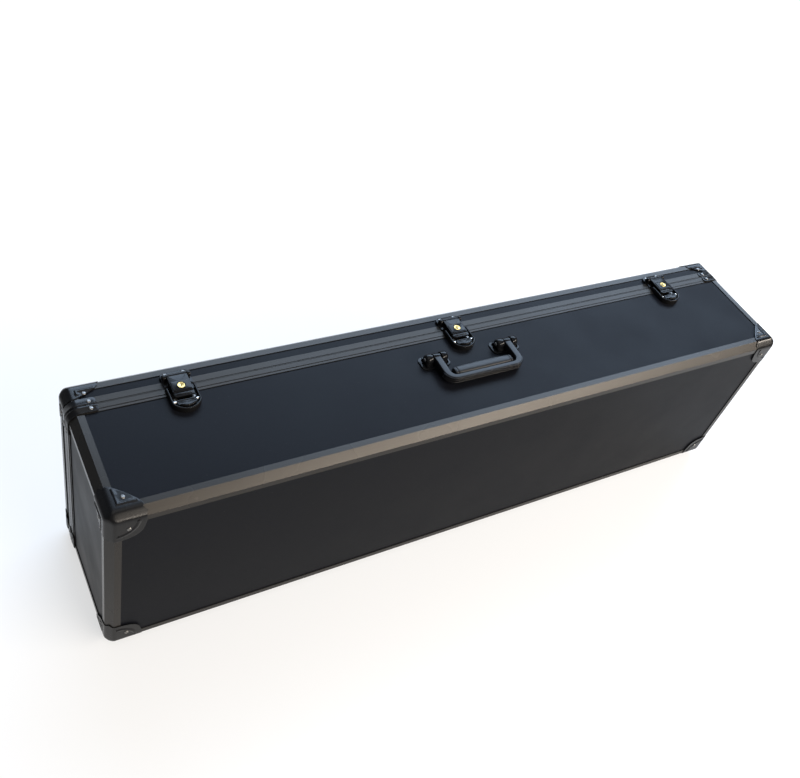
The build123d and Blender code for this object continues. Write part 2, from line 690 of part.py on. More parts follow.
for side, x in LATCHES.items():
    with BuildPart() as hasp:
        with BuildSketch(latch_plane(x, HASP_UNDERSIDE)) as blade:
            with Locations((0, (HASP_PIVOT_BACK - HASP_TIP) / 2)):
                Rectangle(HASP_WIDTH, HASP_PIVOT_BACK + HASP_TIP)
            fillet(blade.vertices().group_by(Axis.Y)[0], radius=HASP_WIDTH / 8)
        extrude(amount=HASP_THICKNESS)
        with BuildSketch(side_plane(x)):
            with Locations((HASP_PIVOT_BACK, HASP_PIVOT_HEIGHT)):
                Circle(HASP_EYE_RADIUS)
        extrude(amount=HASP_WIDTH / 2, both=True)
        # raised pad round the lock, and the lock's boss below the blade
        with BuildSketch(latch_plane(x, HASP_TOP)):
            with Locations((0, -LOCK_FRONT)):
                RectangleRounded(HASP_WIDTH - 3, 17, 2)
        extrude(amount=HASP_PAD_RISE)
        with BuildSketch(latch_plane(x, LOCK_BOSS_BOTTOM)):
            with Locations((0, -LOCK_FRONT)):
                Circle(LOCK_BOSS_RADIUS)
        extrude(amount=HASP_UNDERSIDE - LOCK_BOSS_BOTTOM)
        with BuildSketch(latch_plane(x, 0)):
            with Locations((0, -LOCK_FRONT)):
                Circle(LOCK_RADIUS + RUNNING_FIT)
        extrude(amount=2 * HASP_TOP, mode=Mode.SUBTRACT)
        with Locations(Location((x, SEAM_Y + HASP_PIVOT_BACK, LATCH_Z + HASP_PIVOT_HEIGHT), (0, 90, 0))):
            Cylinder(HASP_PIN_RADIUS + RUNNING_FIT, 2 * HASP_WIDTH, mode=Mode.SUBTRACT)
    save(hasp, f"{side}_hasp")

    with BuildPart() as lock:
        lock_bottom = LOCK_BOSS_BOTTOM - SIDE_CLEARANCE / 2
        with BuildSketch(latch_plane(x, lock_bottom)):
            with Locations((0, -LOCK_FRONT)):
                Circle(LOCK_RADIUS)
        extrude(amount=HASP_TOP + HASP_PAD_RISE + 0.3 - lock_bottom)
        with BuildSketch(latch_plane(x, lock_bottom - CAM_THICKNESS)):
            with Locations((0, -LOCK_FRONT)):
                Circle(CAM_WIDTH)
            with Locations((0, -LOCK_FRONT - CAM_LENGTH / 2)):
                Rectangle(CAM_WIDTH, CAM_LENGTH)
        extrude(amount=CAM_THICKNESS)
        with BuildSketch(latch_plane(x, HASP_TOP - 1)):
            with Locations((0, -LOCK_FRONT)):
                Rectangle(KEY_SLOT_WIDTH, KEY_SLOT_LENGTH)
        extrude(amount=4, mode=Mode.SUBTRACT)
    save(lock, f"{side}_lock")

    with BuildPart() as tab:
        with BuildSketch(latch_plane(x, TAB_PIVOT_HEIGHT)):
            shield(TAB_WIDTH / 2, 1 - TAB_PIVOT_FRONT, KEEPER_STRAIGHT + 1, TAB_TIP)
        extrude(amount=2)
        # upturned lip along the round end
        with BuildSketch(latch_plane(x, TAB_PIVOT_HEIGHT + 2)) as lip:
            shield(TAB_WIDTH / 2, 1 - TAB_PIVOT_FRONT, KEEPER_STRAIGHT + 1, TAB_TIP)
            with Locations((0, -TAB_TIP + 11.5)):
                Rectangle(2 * TAB_WIDTH, 16, mode=Mode.SUBTRACT)
        extrude(amount=LIP_RISE)
        with BuildSketch(side_plane(x)):
            with Locations((-TAB_PIVOT_FRONT, TAB_PIVOT_HEIGHT)):
                Circle(TAB_PIN_RADIUS + 1.2)
        extrude(amount=TAB_WIDTH / 2, both=True)
        with Locations(Location((x, SEAM_Y - TAB_PIVOT_FRONT, LATCH_Z + TAB_PIVOT_HEIGHT), (0, 90, 0))):
            Cylinder(TAB_PIN_RADIUS + RUNNING_FIT, 2 * TAB_WIDTH, mode=Mode.SUBTRACT)
    save(tab, f"{side}_latch_tab")

# ------------------------------------------------------------------ handle
ARM_INNER = ARM_X - ARM_WIDTH / 2
ARM_OUTER = ARM_X + ARM_WIDTH / 2
EAR_NEAR = ARM_INNER - HANDLE_EAR_GAP
EAR_FAR = ARM_OUTER + HANDLE_EAR_GAP
PIN_INSET = 2.5
HANDLE_PIN_LENGTH = EAR_FAR - EAR_NEAR + 2 * (HANDLE_EAR - PIN_INSET)

with BuildPart() as handle_brackets:
    for side in (-1, 1):
        with BuildSketch(level_plane(side * ARM_X, HANDLE_Y, PANEL_TOP_Z)):
            RectangleRounded(HANDLE_FOOT_LENGTH, HANDLE_FOOT_WIDTH, HANDLE_FOOT_WIDTH / 3)
        extrude(amount=HANDLE_FOOT)
        for middle in (EAR_NEAR - HANDLE_EAR / 2, EAR_FAR + HANDLE_EAR / 2):
            with BuildSketch(cross_plane(side * middle, HANDLE_Y, PANEL_TOP_Z)):
                with Locations((0, HANDLE_AXIS_HEIGHT)):
                    Circle(HANDLE_EAR_RADIUS)
                with Locations((0, HANDLE_AXIS_HEIGHT / 2)):
                    Rectangle(2 * HANDLE_EAR_RADIUS, HANDLE_AXIS_HEIGHT)
            extrude(amount=HANDLE_EAR / 2, both=True)
        with Locations(Location((side * ARM_X, HANDLE_Y, HANDLE_Z), (0, 90, 0))):
            Cylinder(HANDLE_PIN_RADIUS, HANDLE_PIN_LENGTH, mode=Mode.SUBTRACT)
    add(handle_screws.part, mode=Mode.SUBTRACT)
save(handle_brackets, "handle_brackets")

with BuildPart() as handle_pins:
    for side in (-1, 1):
        with Locations(Location((side * ARM_X, HANDLE_Y, HANDLE_Z), (0, 90, 0))):
            Cylinder(HANDLE_PIN_RADIUS, HANDLE_PIN_LENGTH)
save(handle_pins, "handle_pins")

with BuildPart() as handle_bail:
    with BuildSketch(level_plane(0, HANDLE_Y, HANDLE_Z)) as loop:
        with Locations((0, -HANDLE_REACH / 2)):
            Rectangle(2 * ARM_OUTER, HANDLE_REACH)
        fillet(loop.vertices().group_by(Axis.Y)[0], radius=BAIL_CORNER)
        with Locations((0, (BAIL_BAR - HANDLE_REACH) / 2)):
            inside = Rectangle(2 * ARM_INNER, HANDLE_REACH - BAIL_BAR, mode=Mode.SUBTRACT)
    extrude(amount=BAIL_THICKNESS / 2, both=True)
    for side in (-1, 1):
        with BuildSketch(cross_plane(side * ARM_X, HANDLE_Y, HANDLE_Z)):
            Circle(ARM_EYE_RADIUS)
        extrude(amount=ARM_WIDTH / 2, both=True)
    with Locations(Location((0, HANDLE_Y, HANDLE_Z), (0, 90, 0))):
        Cylinder(HANDLE_PIN_RADIUS + RUNNING_FIT, 3 * ARM_OUTER, mode=Mode.SUBTRACT)
save(handle_bail, "handle_bail")

RIDGE_SPAN = ARM_OUTER - BAIL_CORNER
with BuildPart() as handle_ridges:
    for step in (-1, 0, 1):
        z = HANDLE_Z + step * RIDGE_PITCH
        with Locations(Location((0, HANDLE_Y - HANDLE_REACH, z), (0, 90, 0))):
            Cylinder(RIDGE_RADIUS, 2 * RIDGE_SPAN)
    span_box(
        (-ARM_OUTER, ARM_OUTER),
        (HANDLE_Y - HANDLE_REACH, HANDLE_Y),
        (HANDLE_Z - BAIL_THICKNESS, HANDLE_Z + BAIL_THICKNESS),
        mode=Mode.SUBTRACT,
    )
save(handle_ridges, "handle_ridges")

with BuildPart() as handle_grip:
    grip_far = HANDLE_Y - HANDLE_REACH + BAIL_BAR
    with BuildSketch(cross_plane(0, grip_far + GRIP_WIDTH / 2, HANDLE_Z)):
        RectangleRounded(GRIP_WIDTH, GRIP_THICKNESS, GRIP_THICKNESS / 3)
    extrude(amount=GRIP_LENGTH / 2, both=True)
save(handle_grip, "handle_grip")

# ------------------------------------------------------------------ hinges
LEAF_TOP = LOW_Z - RIM_PROUD
KNUCKLE = HINGE_LENGTH / HINGE_KNUCKLES


def hinge_leaves(side_y, first, rim_y, half_depth, shank_tool):
    """Leaves of one half: a plate over the rim and the panel, and every second knuckle."""
    pad_reach = min(HINGE_LEAF_REACH, half_depth - EDGE_REACH)
    with BuildPart() as leaves:
        near = SEAM_Y + side_y * (HINGE_KNUCKLE_RADIUS + KNUCKLE_GAP)
        far = SEAM_Y + side_y * HINGE_LEAF_REACH
        for x in HINGES:
            width = (x - HINGE_LENGTH / 2, x + HINGE_LENGTH / 2)
            span_box(width, sorted((near, far)), (LEAF_TOP - HINGE_LEAF, LEAF_TOP))
            span_box(width, sorted((rim_y, SEAM_Y + side_y * pad_reach)), (LEAF_TOP, LOW_Z + SKIN))
            for index in range(first, HINGE_KNUCKLES, 2):
                middle = x - HINGE_LENGTH / 2 + (index + 0.5) * KNUCKLE
                half_width = (KNUCKLE - KNUCKLE_GAP) / 2
                knuckle_x = (middle - half_width, middle + half_width)
                span_box(knuckle_x, sorted((SEAM_Y, near)), (LEAF_TOP - HINGE_LEAF, LEAF_TOP - KNUCKLE_GAP))
                with Locations(Location((middle, SEAM_Y, HINGE_Z), (0, 90, 0))):
                    Cylinder(HINGE_KNUCKLE_RADIUS, 2 * half_width)
            with Locations(Location((x, SEAM_Y, HINGE_Z), (0, 90, 0))):
                Cylinder(HINGE_PIN_RADIUS + RUNNING_FIT, 2 * HINGE_LENGTH, mode=Mode.SUBTRACT)
        add(shank_tool, mode=Mode.SUBTRACT)
    return leaves


save(hinge_leaves(-1, 0, BASE_RIM_Y, CASE_DEPTH - LID_DEPTH, SHANKS["base"]), "hinge_base_leaves")
save(hinge_leaves(1, 1, LID_RIM_Y, LID_DEPTH, SHANKS["lid"]), "hinge_lid_leaves")

with BuildPart() as hinge_pins:
    with Locations(*[Location((x, SEAM_Y, HINGE_Z), (0, 90, 0)) for x in HINGES]):
        Cylinder(HINGE_PIN_RADIUS, HINGE_LENGTH)
save(hinge_pins, "hinge_pins")

# ------------------------------------------------------------------ feet
with BuildPart() as base_feet:
    for y in (-FACE_Y + EDGE_REACH + FOOT_WIDTH / 2 + 1, BASE_RIM_Y - HINGE_LEAF_REACH):
        for side in (-1, 1):
            with Locations((side * FOOT_X, y, 0)):
                Box(FOOT_LENGTH, FOOT_WIDTH, FOOT_HEIGHT + SKIN, align=(Align.CENTER, Align.CENTER, Align.MIN))
    chamfer(base_feet.edges().group_by(Axis.Z)[0], length=1)
save(base_feet, "base_feet")

with BuildPart() as lid_feet:
    for side in (-1, 1):
        with Locations((side * FOOT_X, FACE_Y - EDGE_CHAMFER - FOOT_WIDTH / 2, 0)):
            Box(FOOT_LENGTH, FOOT_WIDTH, FOOT_HEIGHT, align=(Align.CENTER, Align.CENTER, Align.MIN))
    chamfer(lid_feet.edges().group_by(Axis.Z)[0], length=1)
save(lid_feet, "lid_feet")

# ------------------------------------------------------------------ foam
FOAM_X = END_X - FOAM_GAP
FOAM_HALF_HEIGHT = CASE_HEIGHT / 2 - FOAM_GAP
FOAM_MOUTH_Y = SEAM_Y - FOAM_SEAM_GAP
NOSE_X = FOAM_X - 60
BODY_HALF = FOAM_HALF_HEIGHT / 2
TAIL_HALF = BODY_HALF / 2.4

with BuildPart() as base_foam:
    span_box(
        (-FOAM_X, FOAM_X),
        (-FACE_Y + FOAM_BACK_GAP, FOAM_MOUTH_Y),
        (MID_Z - FOAM_HALF_HEIGHT, MID_Z + FOAM_HALF_HEIGHT),
    )
    # pocket for the fuselage: a blunt nose, a full body and a slim tail
    with BuildSketch(depth_plane(FOAM_MOUTH_Y)) as pocket:
        with BuildLine():
            Polyline(
                (-NOSE_X, 0.55 * BODY_HALF),
                (-0.8 * NOSE_X, BODY_HALF),
                (0.2 * NOSE_X, BODY_HALF),
                (0.5 * NOSE_X, TAIL_HALF),
                (NOSE_X, TAIL_HALF),
                (NOSE_X, -TAIL_HALF),
                (0.5 * NOSE_X, -TAIL_HALF),
                (0.2 * NOSE_X, -BODY_HALF),
                (-0.8 * NOSE_X, -BODY_HALF),
                (-NOSE_X, -0.55 * BODY_HALF),
                close=True,
            )
        make_face()
        fillet(pocket.vertices(), radius=TAIL_HALF / 2)
    extrude(amount=POCKET_DEPTH, mode=Mode.SUBTRACT)
    # slot for the wing stubs and two pockets beside the tail
    with BuildSketch(depth_plane(FOAM_MOUTH_Y)):
        with Locations((-0.3 * NOSE_X, 0)):
            RectangleRounded(0.3 * NOSE_X, 1.7 * FOAM_HALF_HEIGHT, 12)
    extrude(amount=POCKET_DEPTH / 2, mode=Mode.SUBTRACT)
    with BuildSketch(depth_plane(FOAM_MOUTH_Y)):
        with Locations((0.72 * NOSE_X, 1.3 * BODY_HALF), (0.72 * NOSE_X, -1.3 * BODY_HALF)):
            RectangleRounded(0.36 * NOSE_X, 0.75 * BODY_HALF, 10)
    extrude(amount=POCKET_DEPTH / 2, mode=Mode.SUBTRACT)
save(base_foam, "base_foam")

with BuildPart() as lid_foam:
    span_box(
        (-FOAM_X, FOAM_X),
        (SEAM_Y + FOAM_SEAM_GAP, FACE_Y - FOAM_BACK_GAP),
        (MID_Z - FOAM_HALF_HEIGHT, MID_Z + FOAM_HALF_HEIGHT),
    )
save(lid_foam, "lid_foam")
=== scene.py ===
import bmesh
import bpy
import numpy as np
from mathutils import Matrix, Vector


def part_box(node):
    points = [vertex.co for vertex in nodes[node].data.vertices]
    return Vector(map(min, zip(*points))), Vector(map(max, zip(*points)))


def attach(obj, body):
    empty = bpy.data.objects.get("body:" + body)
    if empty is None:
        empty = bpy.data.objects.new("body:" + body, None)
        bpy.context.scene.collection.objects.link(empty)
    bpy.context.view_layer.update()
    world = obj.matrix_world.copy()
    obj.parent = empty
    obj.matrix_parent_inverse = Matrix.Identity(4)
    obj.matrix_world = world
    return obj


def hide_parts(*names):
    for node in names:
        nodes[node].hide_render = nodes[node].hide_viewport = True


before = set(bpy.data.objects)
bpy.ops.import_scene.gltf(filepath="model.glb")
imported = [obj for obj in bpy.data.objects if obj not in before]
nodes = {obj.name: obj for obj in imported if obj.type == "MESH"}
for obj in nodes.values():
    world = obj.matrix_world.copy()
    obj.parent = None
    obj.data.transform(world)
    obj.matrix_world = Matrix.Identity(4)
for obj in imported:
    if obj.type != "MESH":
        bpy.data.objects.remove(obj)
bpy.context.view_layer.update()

# ---- Panels ---------------------------------------------------------------------------------
# Ten boards of 5 mm plywood faced with a smooth black laminate. They slide into the slots of the
# edge extrusions and of the two rims, and nothing else holds them.
LAMINATE_BLACK = (0.0046, 0.0051, 0.0068)
LAMINATE_GRAIN = (520.0, 520.0, 520.0)


def finish(name, colour, rough, metal=0.0, specular=0.5, coat=0.0, grain=(400.0, 400.0, 400.0),
           tint=0.2, swing=0.06, bump=0.15, relief=0.0002, flecks=0.0, fleck_colour=(0.2, 0.2, 0.2)):
    """A surface finish. Colour is the base times a fine noise stretched by grain and a broad slow
    noise; roughness is rough plus or minus swing by the broad noise; the fine noise gives the bump.
    flecks above 0 mixes in small light spots, where the distance to random cell centres is small."""
    made = bpy.data.materials.new(name)
    made.use_nodes = True
    tree = made.node_tree
    shader = tree.nodes["Principled BSDF"]
    link = tree.links.new

    def node(kind, **settings):
        """A shader node. A setting named like an input fills that input; any other sets the node."""
        new = tree.nodes.new(kind)
        for key, value in settings.items():
            if key in new.inputs:
                new.inputs[key].default_value = value
            else:
                setattr(new, key, value)
        return new

    place = node("ShaderNodeTexCoord")
    stretch = node("ShaderNodeMapping", Scale=grain)
    link(place.outputs["Object"], stretch.inputs["Vector"])
    fine = node("ShaderNodeTexNoise", Scale=1.0, Detail=4.0, Roughness=0.6)
    link(stretch.outputs["Vector"], fine.inputs["Vector"])
    broad = node("ShaderNodeTexNoise", Scale=9.0, Detail=3.0, Roughness=0.55)
    link(place.outputs["Object"], broad.inputs["Vector"])

    share = node("ShaderNodeMath", operation="MULTIPLY")
    link(fine.outputs["Fac"], share.inputs[0])
    link(broad.outputs["Fac"], share.inputs[1])
    level = node("ShaderNodeMapRange", **{"From Min": 0.12, "From Max": 0.42,
                                          "To Min": 1.0 - tint, "To Max": 1.0 + tint})
    link(share.outputs["Value"], level.inputs["Value"])
    shade = node("ShaderNodeVectorMath", operation="SCALE")
    shade.inputs[0].default_value = colour
    link(level.outputs["Result"], shade.inputs["Scale"])
    surface_colour = shade.outputs["Vector"]
    if flecks:
        cells = node("ShaderNodeTexVoronoi", Scale=55.0)
        link(place.outputs["Object"], cells.inputs["Vector"])
        near = node("ShaderNodeMapRange", **{"From Min": 0.030, "From Max": 0.055,
                                             "To Min": flecks, "To Max": 0.0})
        link(cells.outputs["Distance"], near.inputs["Value"])
        mix = node("ShaderNodeMix", data_type="RGBA")
        mix.inputs["B"].default_value = (*fleck_colour, 1.0)
        link(near.outputs["Result"], mix.inputs["Factor"])
        link(surface_colour, mix.inputs["A"])
        surface_colour = mix.outputs["Result"]
    link(surface_colour, shader.inputs["Base Color"])

    polish = node("ShaderNodeMapRange", **{"From Min": 0.3, "From Max": 0.7,
                                           "To Min": rough - swing, "To Max": rough + swing})
    link(broad.outputs["Fac"], polish.inputs["Value"])
    link(polish.outputs["Result"], shader.inputs["Roughness"])
    raised = node("ShaderNodeBump", Strength=bump, Distance=relief)
    link(fine.outputs["Fac"], raised.inputs["Height"])
    link(raised.outputs["Normal"], shader.inputs["Normal"])
    shader.inputs["Metallic"].default_value = metal
    shader.inputs["Specular IOR Level"].default_value = specular
    shader.inputs["Coat Weight"].default_value = coat
    shader.inputs["Coat Roughness"].default_value = 0.12
    return made


def dress(material, *names):
    """Give CAD nodes a finish."""
    for name in names:
        nodes[name].data.materials.clear()
        nodes[name].data.materials.append(material)


laminate = finish("laminate", LAMINATE_BLACK, 0.38, specular=0.034, grain=LAMINATE_GRAIN, tint=0.18,
                  swing=0.05, bump=0.10, flecks=0.10, fleck_colour=(0.09, 0.09, 0.1))
dress(laminate, *(f"{half}_{side}_panel" for half in ("base", "lid")
                  for side in ("face", "top", "bottom", "left", "right")))

# ---- Edge extrusions ------------------------------------------------------------------------
# Black anodised aluminium with a 45 degree corner, drawn through a die, so fine lines run along
# each length. They are sawn to mitres and meet at the corners under the protectors.
ANODISED = (0.022, 0.0205, 0.0190)
DRAWN = 700.0  # lines to the metre across a length
ALONG = 5.0

for axis, names in (
    ((ALONG, DRAWN, DRAWN), ("base_top_edge", "base_bottom_edge", "lid_top_edge", "lid_bottom_edge")),
    ((DRAWN, DRAWN, ALONG), ("base_left_edge", "base_right_edge", "lid_left_edge", "lid_right_edge")),
    ((DRAWN, ALONG, DRAWN), ("base_short_edges", "lid_short_edges")),
):
    drawn = finish(f"anodised_{names[0]}", ANODISED, 0.27, metal=0.4, specular=0.07, grain=axis,
                   tint=0.09, swing=0.02, bump=0.10, relief=0.0001)
    dress(drawn, *names)

# ---- Rims -----------------------------------------------------------------------------------
# The two rims are drawn from the same alloy and run round the opening. Lines rolled into them
# catch the light, and the base's dust tongue goes into the lid's groove.
RIM = (0.020, 0.0182, 0.0164)

rim_finish = finish("rim_aluminium", RIM, 0.30, metal=0.35, specular=0.06, grain=(ALONG, DRAWN, ALONG),
                    tint=0.16, swing=0.05, bump=0.2, relief=0.0001)
dress(rim_finish, "base_rim", "lid_rim")

# ---- Hinges, screws and backing plate ---------------------------------------------------------
# Three pressed steel hinges under the case, black coated, on zinc plated pins. Four screws pass
# the top board into a plate behind it and hold the handle.
STEEL = (0.52, 0.52, 0.51)
BLACK_COAT = (0.0055, 0.0055, 0.0060)

hardware = finish("black_coated_steel", BLACK_COAT, 0.26, specular=0.14, coat=0.0,
                  grain=(900.0, 900.0, 900.0), tint=0.2, swing=0.06, bump=0.04, flecks=0.06)
steel = finish("plated_steel", STEEL, 0.3, metal=1.0, grain=(60.0, 900.0, 900.0), tint=0.12, bump=0.12)
dress(hardware, "hinge_base_leaves", "hinge_lid_leaves")
dress(steel, "hinge_pins", "handle_screws", "handle_backing_plate", "latch_tab_pins", "latch_hasp_pins")

# ---- Corner protectors ----------------------------------------------------------------------
# Eight corners pressed from 1.2 mm steel and coated black. Each wraps three faces and the bevels
# between them, is stiffened by a pressed rib, and is held by one rivet on each face.
END_X, FACE_Y = 580.0, 110.0  # millimetres, like every size of a new piece
LOW_Z, TOP_Z = 8.0, 318.0
HALVES = {"base": -1, "lid": 1}
GUARD_WALL = 1.2
GUARD_MIDDLE = 20.0  # the point that a guard's skin is worked out round, from all three faces
GUARD_BEND = 24  # the higher, the tighter the bends
GUARD_BEVEL = 8.3  # two distances from the corner add up to this on a bevel's skin
GUARD_BLUNT = 14.5  # and all three add up to this on the blunt corner
GUARD_REACH, LID_GUARD_REACH = 46.0, 30.0
GUARD_LIP = [(0, 2.3), (0, 0.6), (0.12, 0.22), (0.4, 0.04), (0.8, 0)]  # inset, depth at the free edge
SIDE_POINTS = 36
RIB_IN, RIB_HALF, RIB_RISE = 18.5, 2.0, 1.1
RIB_ARC_MIDDLE, RIB_ARC = 12, 27  # the rib of a round face is an arc
X, Y, Z = np.eye(3)


def stack(rings, caps=(True, True)):
    """Surface through closed loops (loops, points, xyz): each loop joins the next with quads, and a
    capped end closes on its loop's middle with a fan of triangles."""
    loops, count = rings.shape[:2]
    here = np.arange(count)
    after = np.roll(here, -1)
    rows = np.arange(loops - 1)[:, None] * count
    quads = np.stack([rows + here, rows + after, rows + count + after, rows + count + here], -1)
    quads = quads.reshape(-1, 4)
    points, fans = rings.reshape(-1, 3), [np.zeros((0, 3), int)]
    for first, capped in ((0, caps[0]), ((loops - 1) * count, caps[1])):
        if capped:
            fan = np.stack([first + here, first + after, np.full(count, len(points))], -1)
            points = np.vstack([points, points[first:first + count].mean(0)])
            fans.append(fan if first else fan[:, ::-1])
    return points, quads, np.vstack(fans)


def piece(name, surfaces, material, body, slot, *replaced, sharp=38.0):
    """One object from several surfaces in millimetres. A surface whose signed volume about its own
    middle is negative is turned over, double points are merged, and edges under sharp are smooth."""
    points, faces, count = [], [], 0
    for place, quads, tris in surfaces:
        corners = np.vstack([tris, quads[:, :3], quads[:, [0, 2, 3]]])
        a, b, c = (place[corners[:, k]] - place.mean(0) for k in range(3))
        way = -1 if np.einsum("ij,ij->", a, np.cross(b, c)) < 0 else 1
        faces += [face[::way] for face in (quads + count).tolist() + (tris + count).tolist()]
        points.append(place * 0.001)
        count += len(place)
    mesh = bpy.data.meshes.new(name)
    mesh.from_pydata(np.vstack(points).tolist(), [], faces)
    welded = bmesh.new()
    welded.from_mesh(mesh)
    bmesh.ops.remove_doubles(welded, verts=welded.verts, dist=2e-6)
    bmesh.ops.dissolve_degenerate(welded, edges=welded.edges, dist=1e-7)
    welded.to_mesh(mesh)
    welded.free()
    mesh.shade_smooth()
    mesh.set_sharp_from_angle(angle=np.radians(sharp))
    made = bpy.data.objects.new(name, mesh)
    made.data.materials.append(material)
    bpy.context.scene.collection.objects.link(made)
    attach(made, body)
    if replaced:
        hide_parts(*replaced)
    return made


def eased(line, rounds=3):
    """An open line with its corners cut: each round puts points at a quarter and three quarters of
    every run, and keeps both ends."""
    line = np.array(line, float)
    for _ in range(rounds):
        near, far = 0.75 * line[:-1] + 0.25 * line[1:], 0.25 * line[:-1] + 0.75 * line[1:]
        line = np.vstack([line[:1], np.stack([near, far], 1).reshape(-1, 2), line[-1:]])
    return line


def guard_skin(way):
    """Distance from a guard's middle to its skin along unit vectors: the soft minimum, by a high
    power, of the distances to three faces, three bevels and one blunt corner."""
    lean = -np.array([(1, 0, 0), (0, 1, 0), (0, 0, 1), (1, 1, 0), (1, 0, 1), (0, 1, 1), (1, 1, 1)], float)
    lean /= np.linalg.norm(lean, axis=1, keepdims=True)
    bevel = (2 * GUARD_MIDDLE - GUARD_BEVEL) / 2**0.5
    blunt = (3 * GUARD_MIDDLE - GUARD_BLUNT) / 3**0.5
    away = np.array([GUARD_MIDDLE + GUARD_WALL] * 3 + [bevel] * 3 + [blunt])
    share = np.clip(way @ lean.T, 0, None) / away
    return (share**GUARD_BEND).sum(-1) ** (-1 / GUARD_BEND)


def guard_face(reach_u, reach_v, tip_u, tip_v, round_face):
    """One face of a guard as loops of (u, v, depth) from the case's sharp corner. The outline runs
    on the bevels' middle lines and round the free edge; each point is thrown from the guard's
    middle onto its skin, and the free edge turns down to the case. A rib stands on the flat."""
    rim = -GUARD_WALL
    throw = (GUARD_MIDDLE + GUARD_WALL) / (GUARD_MIDDLE - GUARD_BEVEL / 2)
    end_u, end_v = (GUARD_MIDDLE + (tip - GUARD_MIDDLE) * throw for tip in (tip_u, tip_v))
    if round_face:
        middle = [(reach_u + 3, 8), (reach_u + 3, 20), (0.92 * reach_u, 0.92 * reach_v),
                  (20, reach_v + 3), (8, reach_v + 3)]
    else:
        middle = [(reach_u + 2, 6), (reach_u + 1, 17), (17, reach_v + 1), (6, reach_v + 2)]
    free = eased([(end_u, rim), *middle, (rim, end_v)])
    steps = np.linspace(0, 1, SIDE_POINTS)
    side_u = np.stack([rim + (end_u - rim) * steps, np.full(SIDE_POINTS, rim)], -1)
    side_v = np.stack([np.full(SIDE_POINTS, rim), rim + (end_v - rim) * steps], -1)
    loop = np.vstack([side_u, free[1:-1], side_v[:0:-1]])
    inward = np.zeros_like(loop)
    run = np.gradient(free, axis=0)
    turned = np.stack([-run[:, 1], run[:, 0]], -1) / np.linalg.norm(run, axis=1, keepdims=True)
    turned[0], turned[-1] = (-1, 0), (0, -1)
    on_free = slice(SIDE_POINTS - 1, SIDE_POINTS - 1 + len(free))
    inward[on_free] = turned
    is_free = np.zeros(len(loop))
    is_free[on_free] = 1

    inset, sink = np.array(GUARD_LIP).T
    edge = loop + inset[:, None, None] * inward
    hub = np.array([0.5 * reach_u, 0.5 * reach_v])
    spread = np.linspace(1, 0, 26)[1:-1]
    flat = np.concatenate([edge, hub + spread[:, None, None] * (edge[-1] - hub)])
    depth = np.concatenate([sink[:, None] * is_free, np.zeros((len(spread), len(loop)))])
    way = np.concatenate([flat - GUARD_MIDDLE, np.full((*flat.shape[:2], 1), rim - GUARD_MIDDLE)], -1)
    way /= np.linalg.norm(way, axis=-1, keepdims=True)
    skin = GUARD_MIDDLE + way * (guard_skin(way) - depth)[..., None]

    u, v = skin[..., 0], skin[..., 1]
    if round_face:
        from_arc = abs(np.hypot(u - RIB_ARC_MIDDLE, v - RIB_ARC_MIDDLE) - RIB_ARC)
        off = np.where((u > RIB_ARC_MIDDLE + 1) & (v > RIB_ARC_MIDDLE + 1), from_arc, 9)
    else:
        along_u = np.hypot(np.clip(u - reach_u + 6, 0, None) + np.clip(RIB_IN - u, 0, None), v - RIB_IN)
        along_v = np.hypot(np.clip(v - reach_v + 6, 0, None) + np.clip(RIB_IN - v, 0, None), u - RIB_IN)
        off = np.minimum(along_u, along_v)
    skin[..., 2] -= RIB_RISE * np.clip(1.3 - (off / RIB_HALF) ** 2, 0, 1)
    return skin


def guards(side_y, reach_y, tip_y):
    """The four guards of one half, each of three faces."""
    made = []
    reach, tip = (GUARD_REACH, reach_y, GUARD_REACH), (GUARD_REACH + 5, tip_y, GUARD_REACH + 5)
    for side_x in (-1, 1):
        for side_z in (-1, 1):
            corner = np.array([side_x * END_X, side_y * FACE_Y, TOP_Z if side_z > 0 else LOW_Z])
            for u, v, w in ((0, 1, 2), (1, 2, 0), (2, 0, 1)):
                skin = guard_face(reach[u], reach[v], tip[u], tip[v], w == 1)
                rings = np.empty_like(skin)
                for axis, part in ((u, 0), (v, 1), (w, 2)):
                    rings[..., axis] = corner[axis] - (side_x, side_y, side_z)[axis] * skin[..., part]
                made.append(stack(rings, caps=(False, True)))
    return made


for half, reach_y, tip_y in (("base", GUARD_REACH, GUARD_REACH + 5), ("lid", LID_GUARD_REACH, 31.5)):
    piece(f"{half}_guards", guards(HALVES[half], reach_y, tip_y), hardware, half, "black_hardware",
          f"{half}_corner_protectors")

# ---- Rim brackets ---------------------------------------------------------------------------
# A pressed steel strip wraps each corner of both rims and ties their mitred lengths together. Its
# ends are rounded, and it has a raised bead along the seam.
SEAM_Y = 65.0
RIM_WIDTH, SEAM_HALF = 12.0, 0.3
RIM_PROUD = 0.8
BRACKET_REACH = 38.0
BRACKET_OUT = RIM_PROUD + GUARD_WALL
CASE_BEVEL = 10  # what the case's corner loses along each face
BRACKET_END = 4  # the radius that a strip's ends are rounded to
NEAR_END = np.array([0.3, 0.8, 1.5, 2.5, 4.0])
BRACKET_SECTION = [  # share of the half width, height
    (-1, -1.4), (-1, -0.5), (-0.96, -0.15), (-0.86, 0), (0.42, 0), (0.5, 0.35), (0.62, 0.45),
    (0.74, 0.35), (0.8, 0), (0.9, 0), (0.97, -0.15), (1, -0.5), (1, -1.4),
]


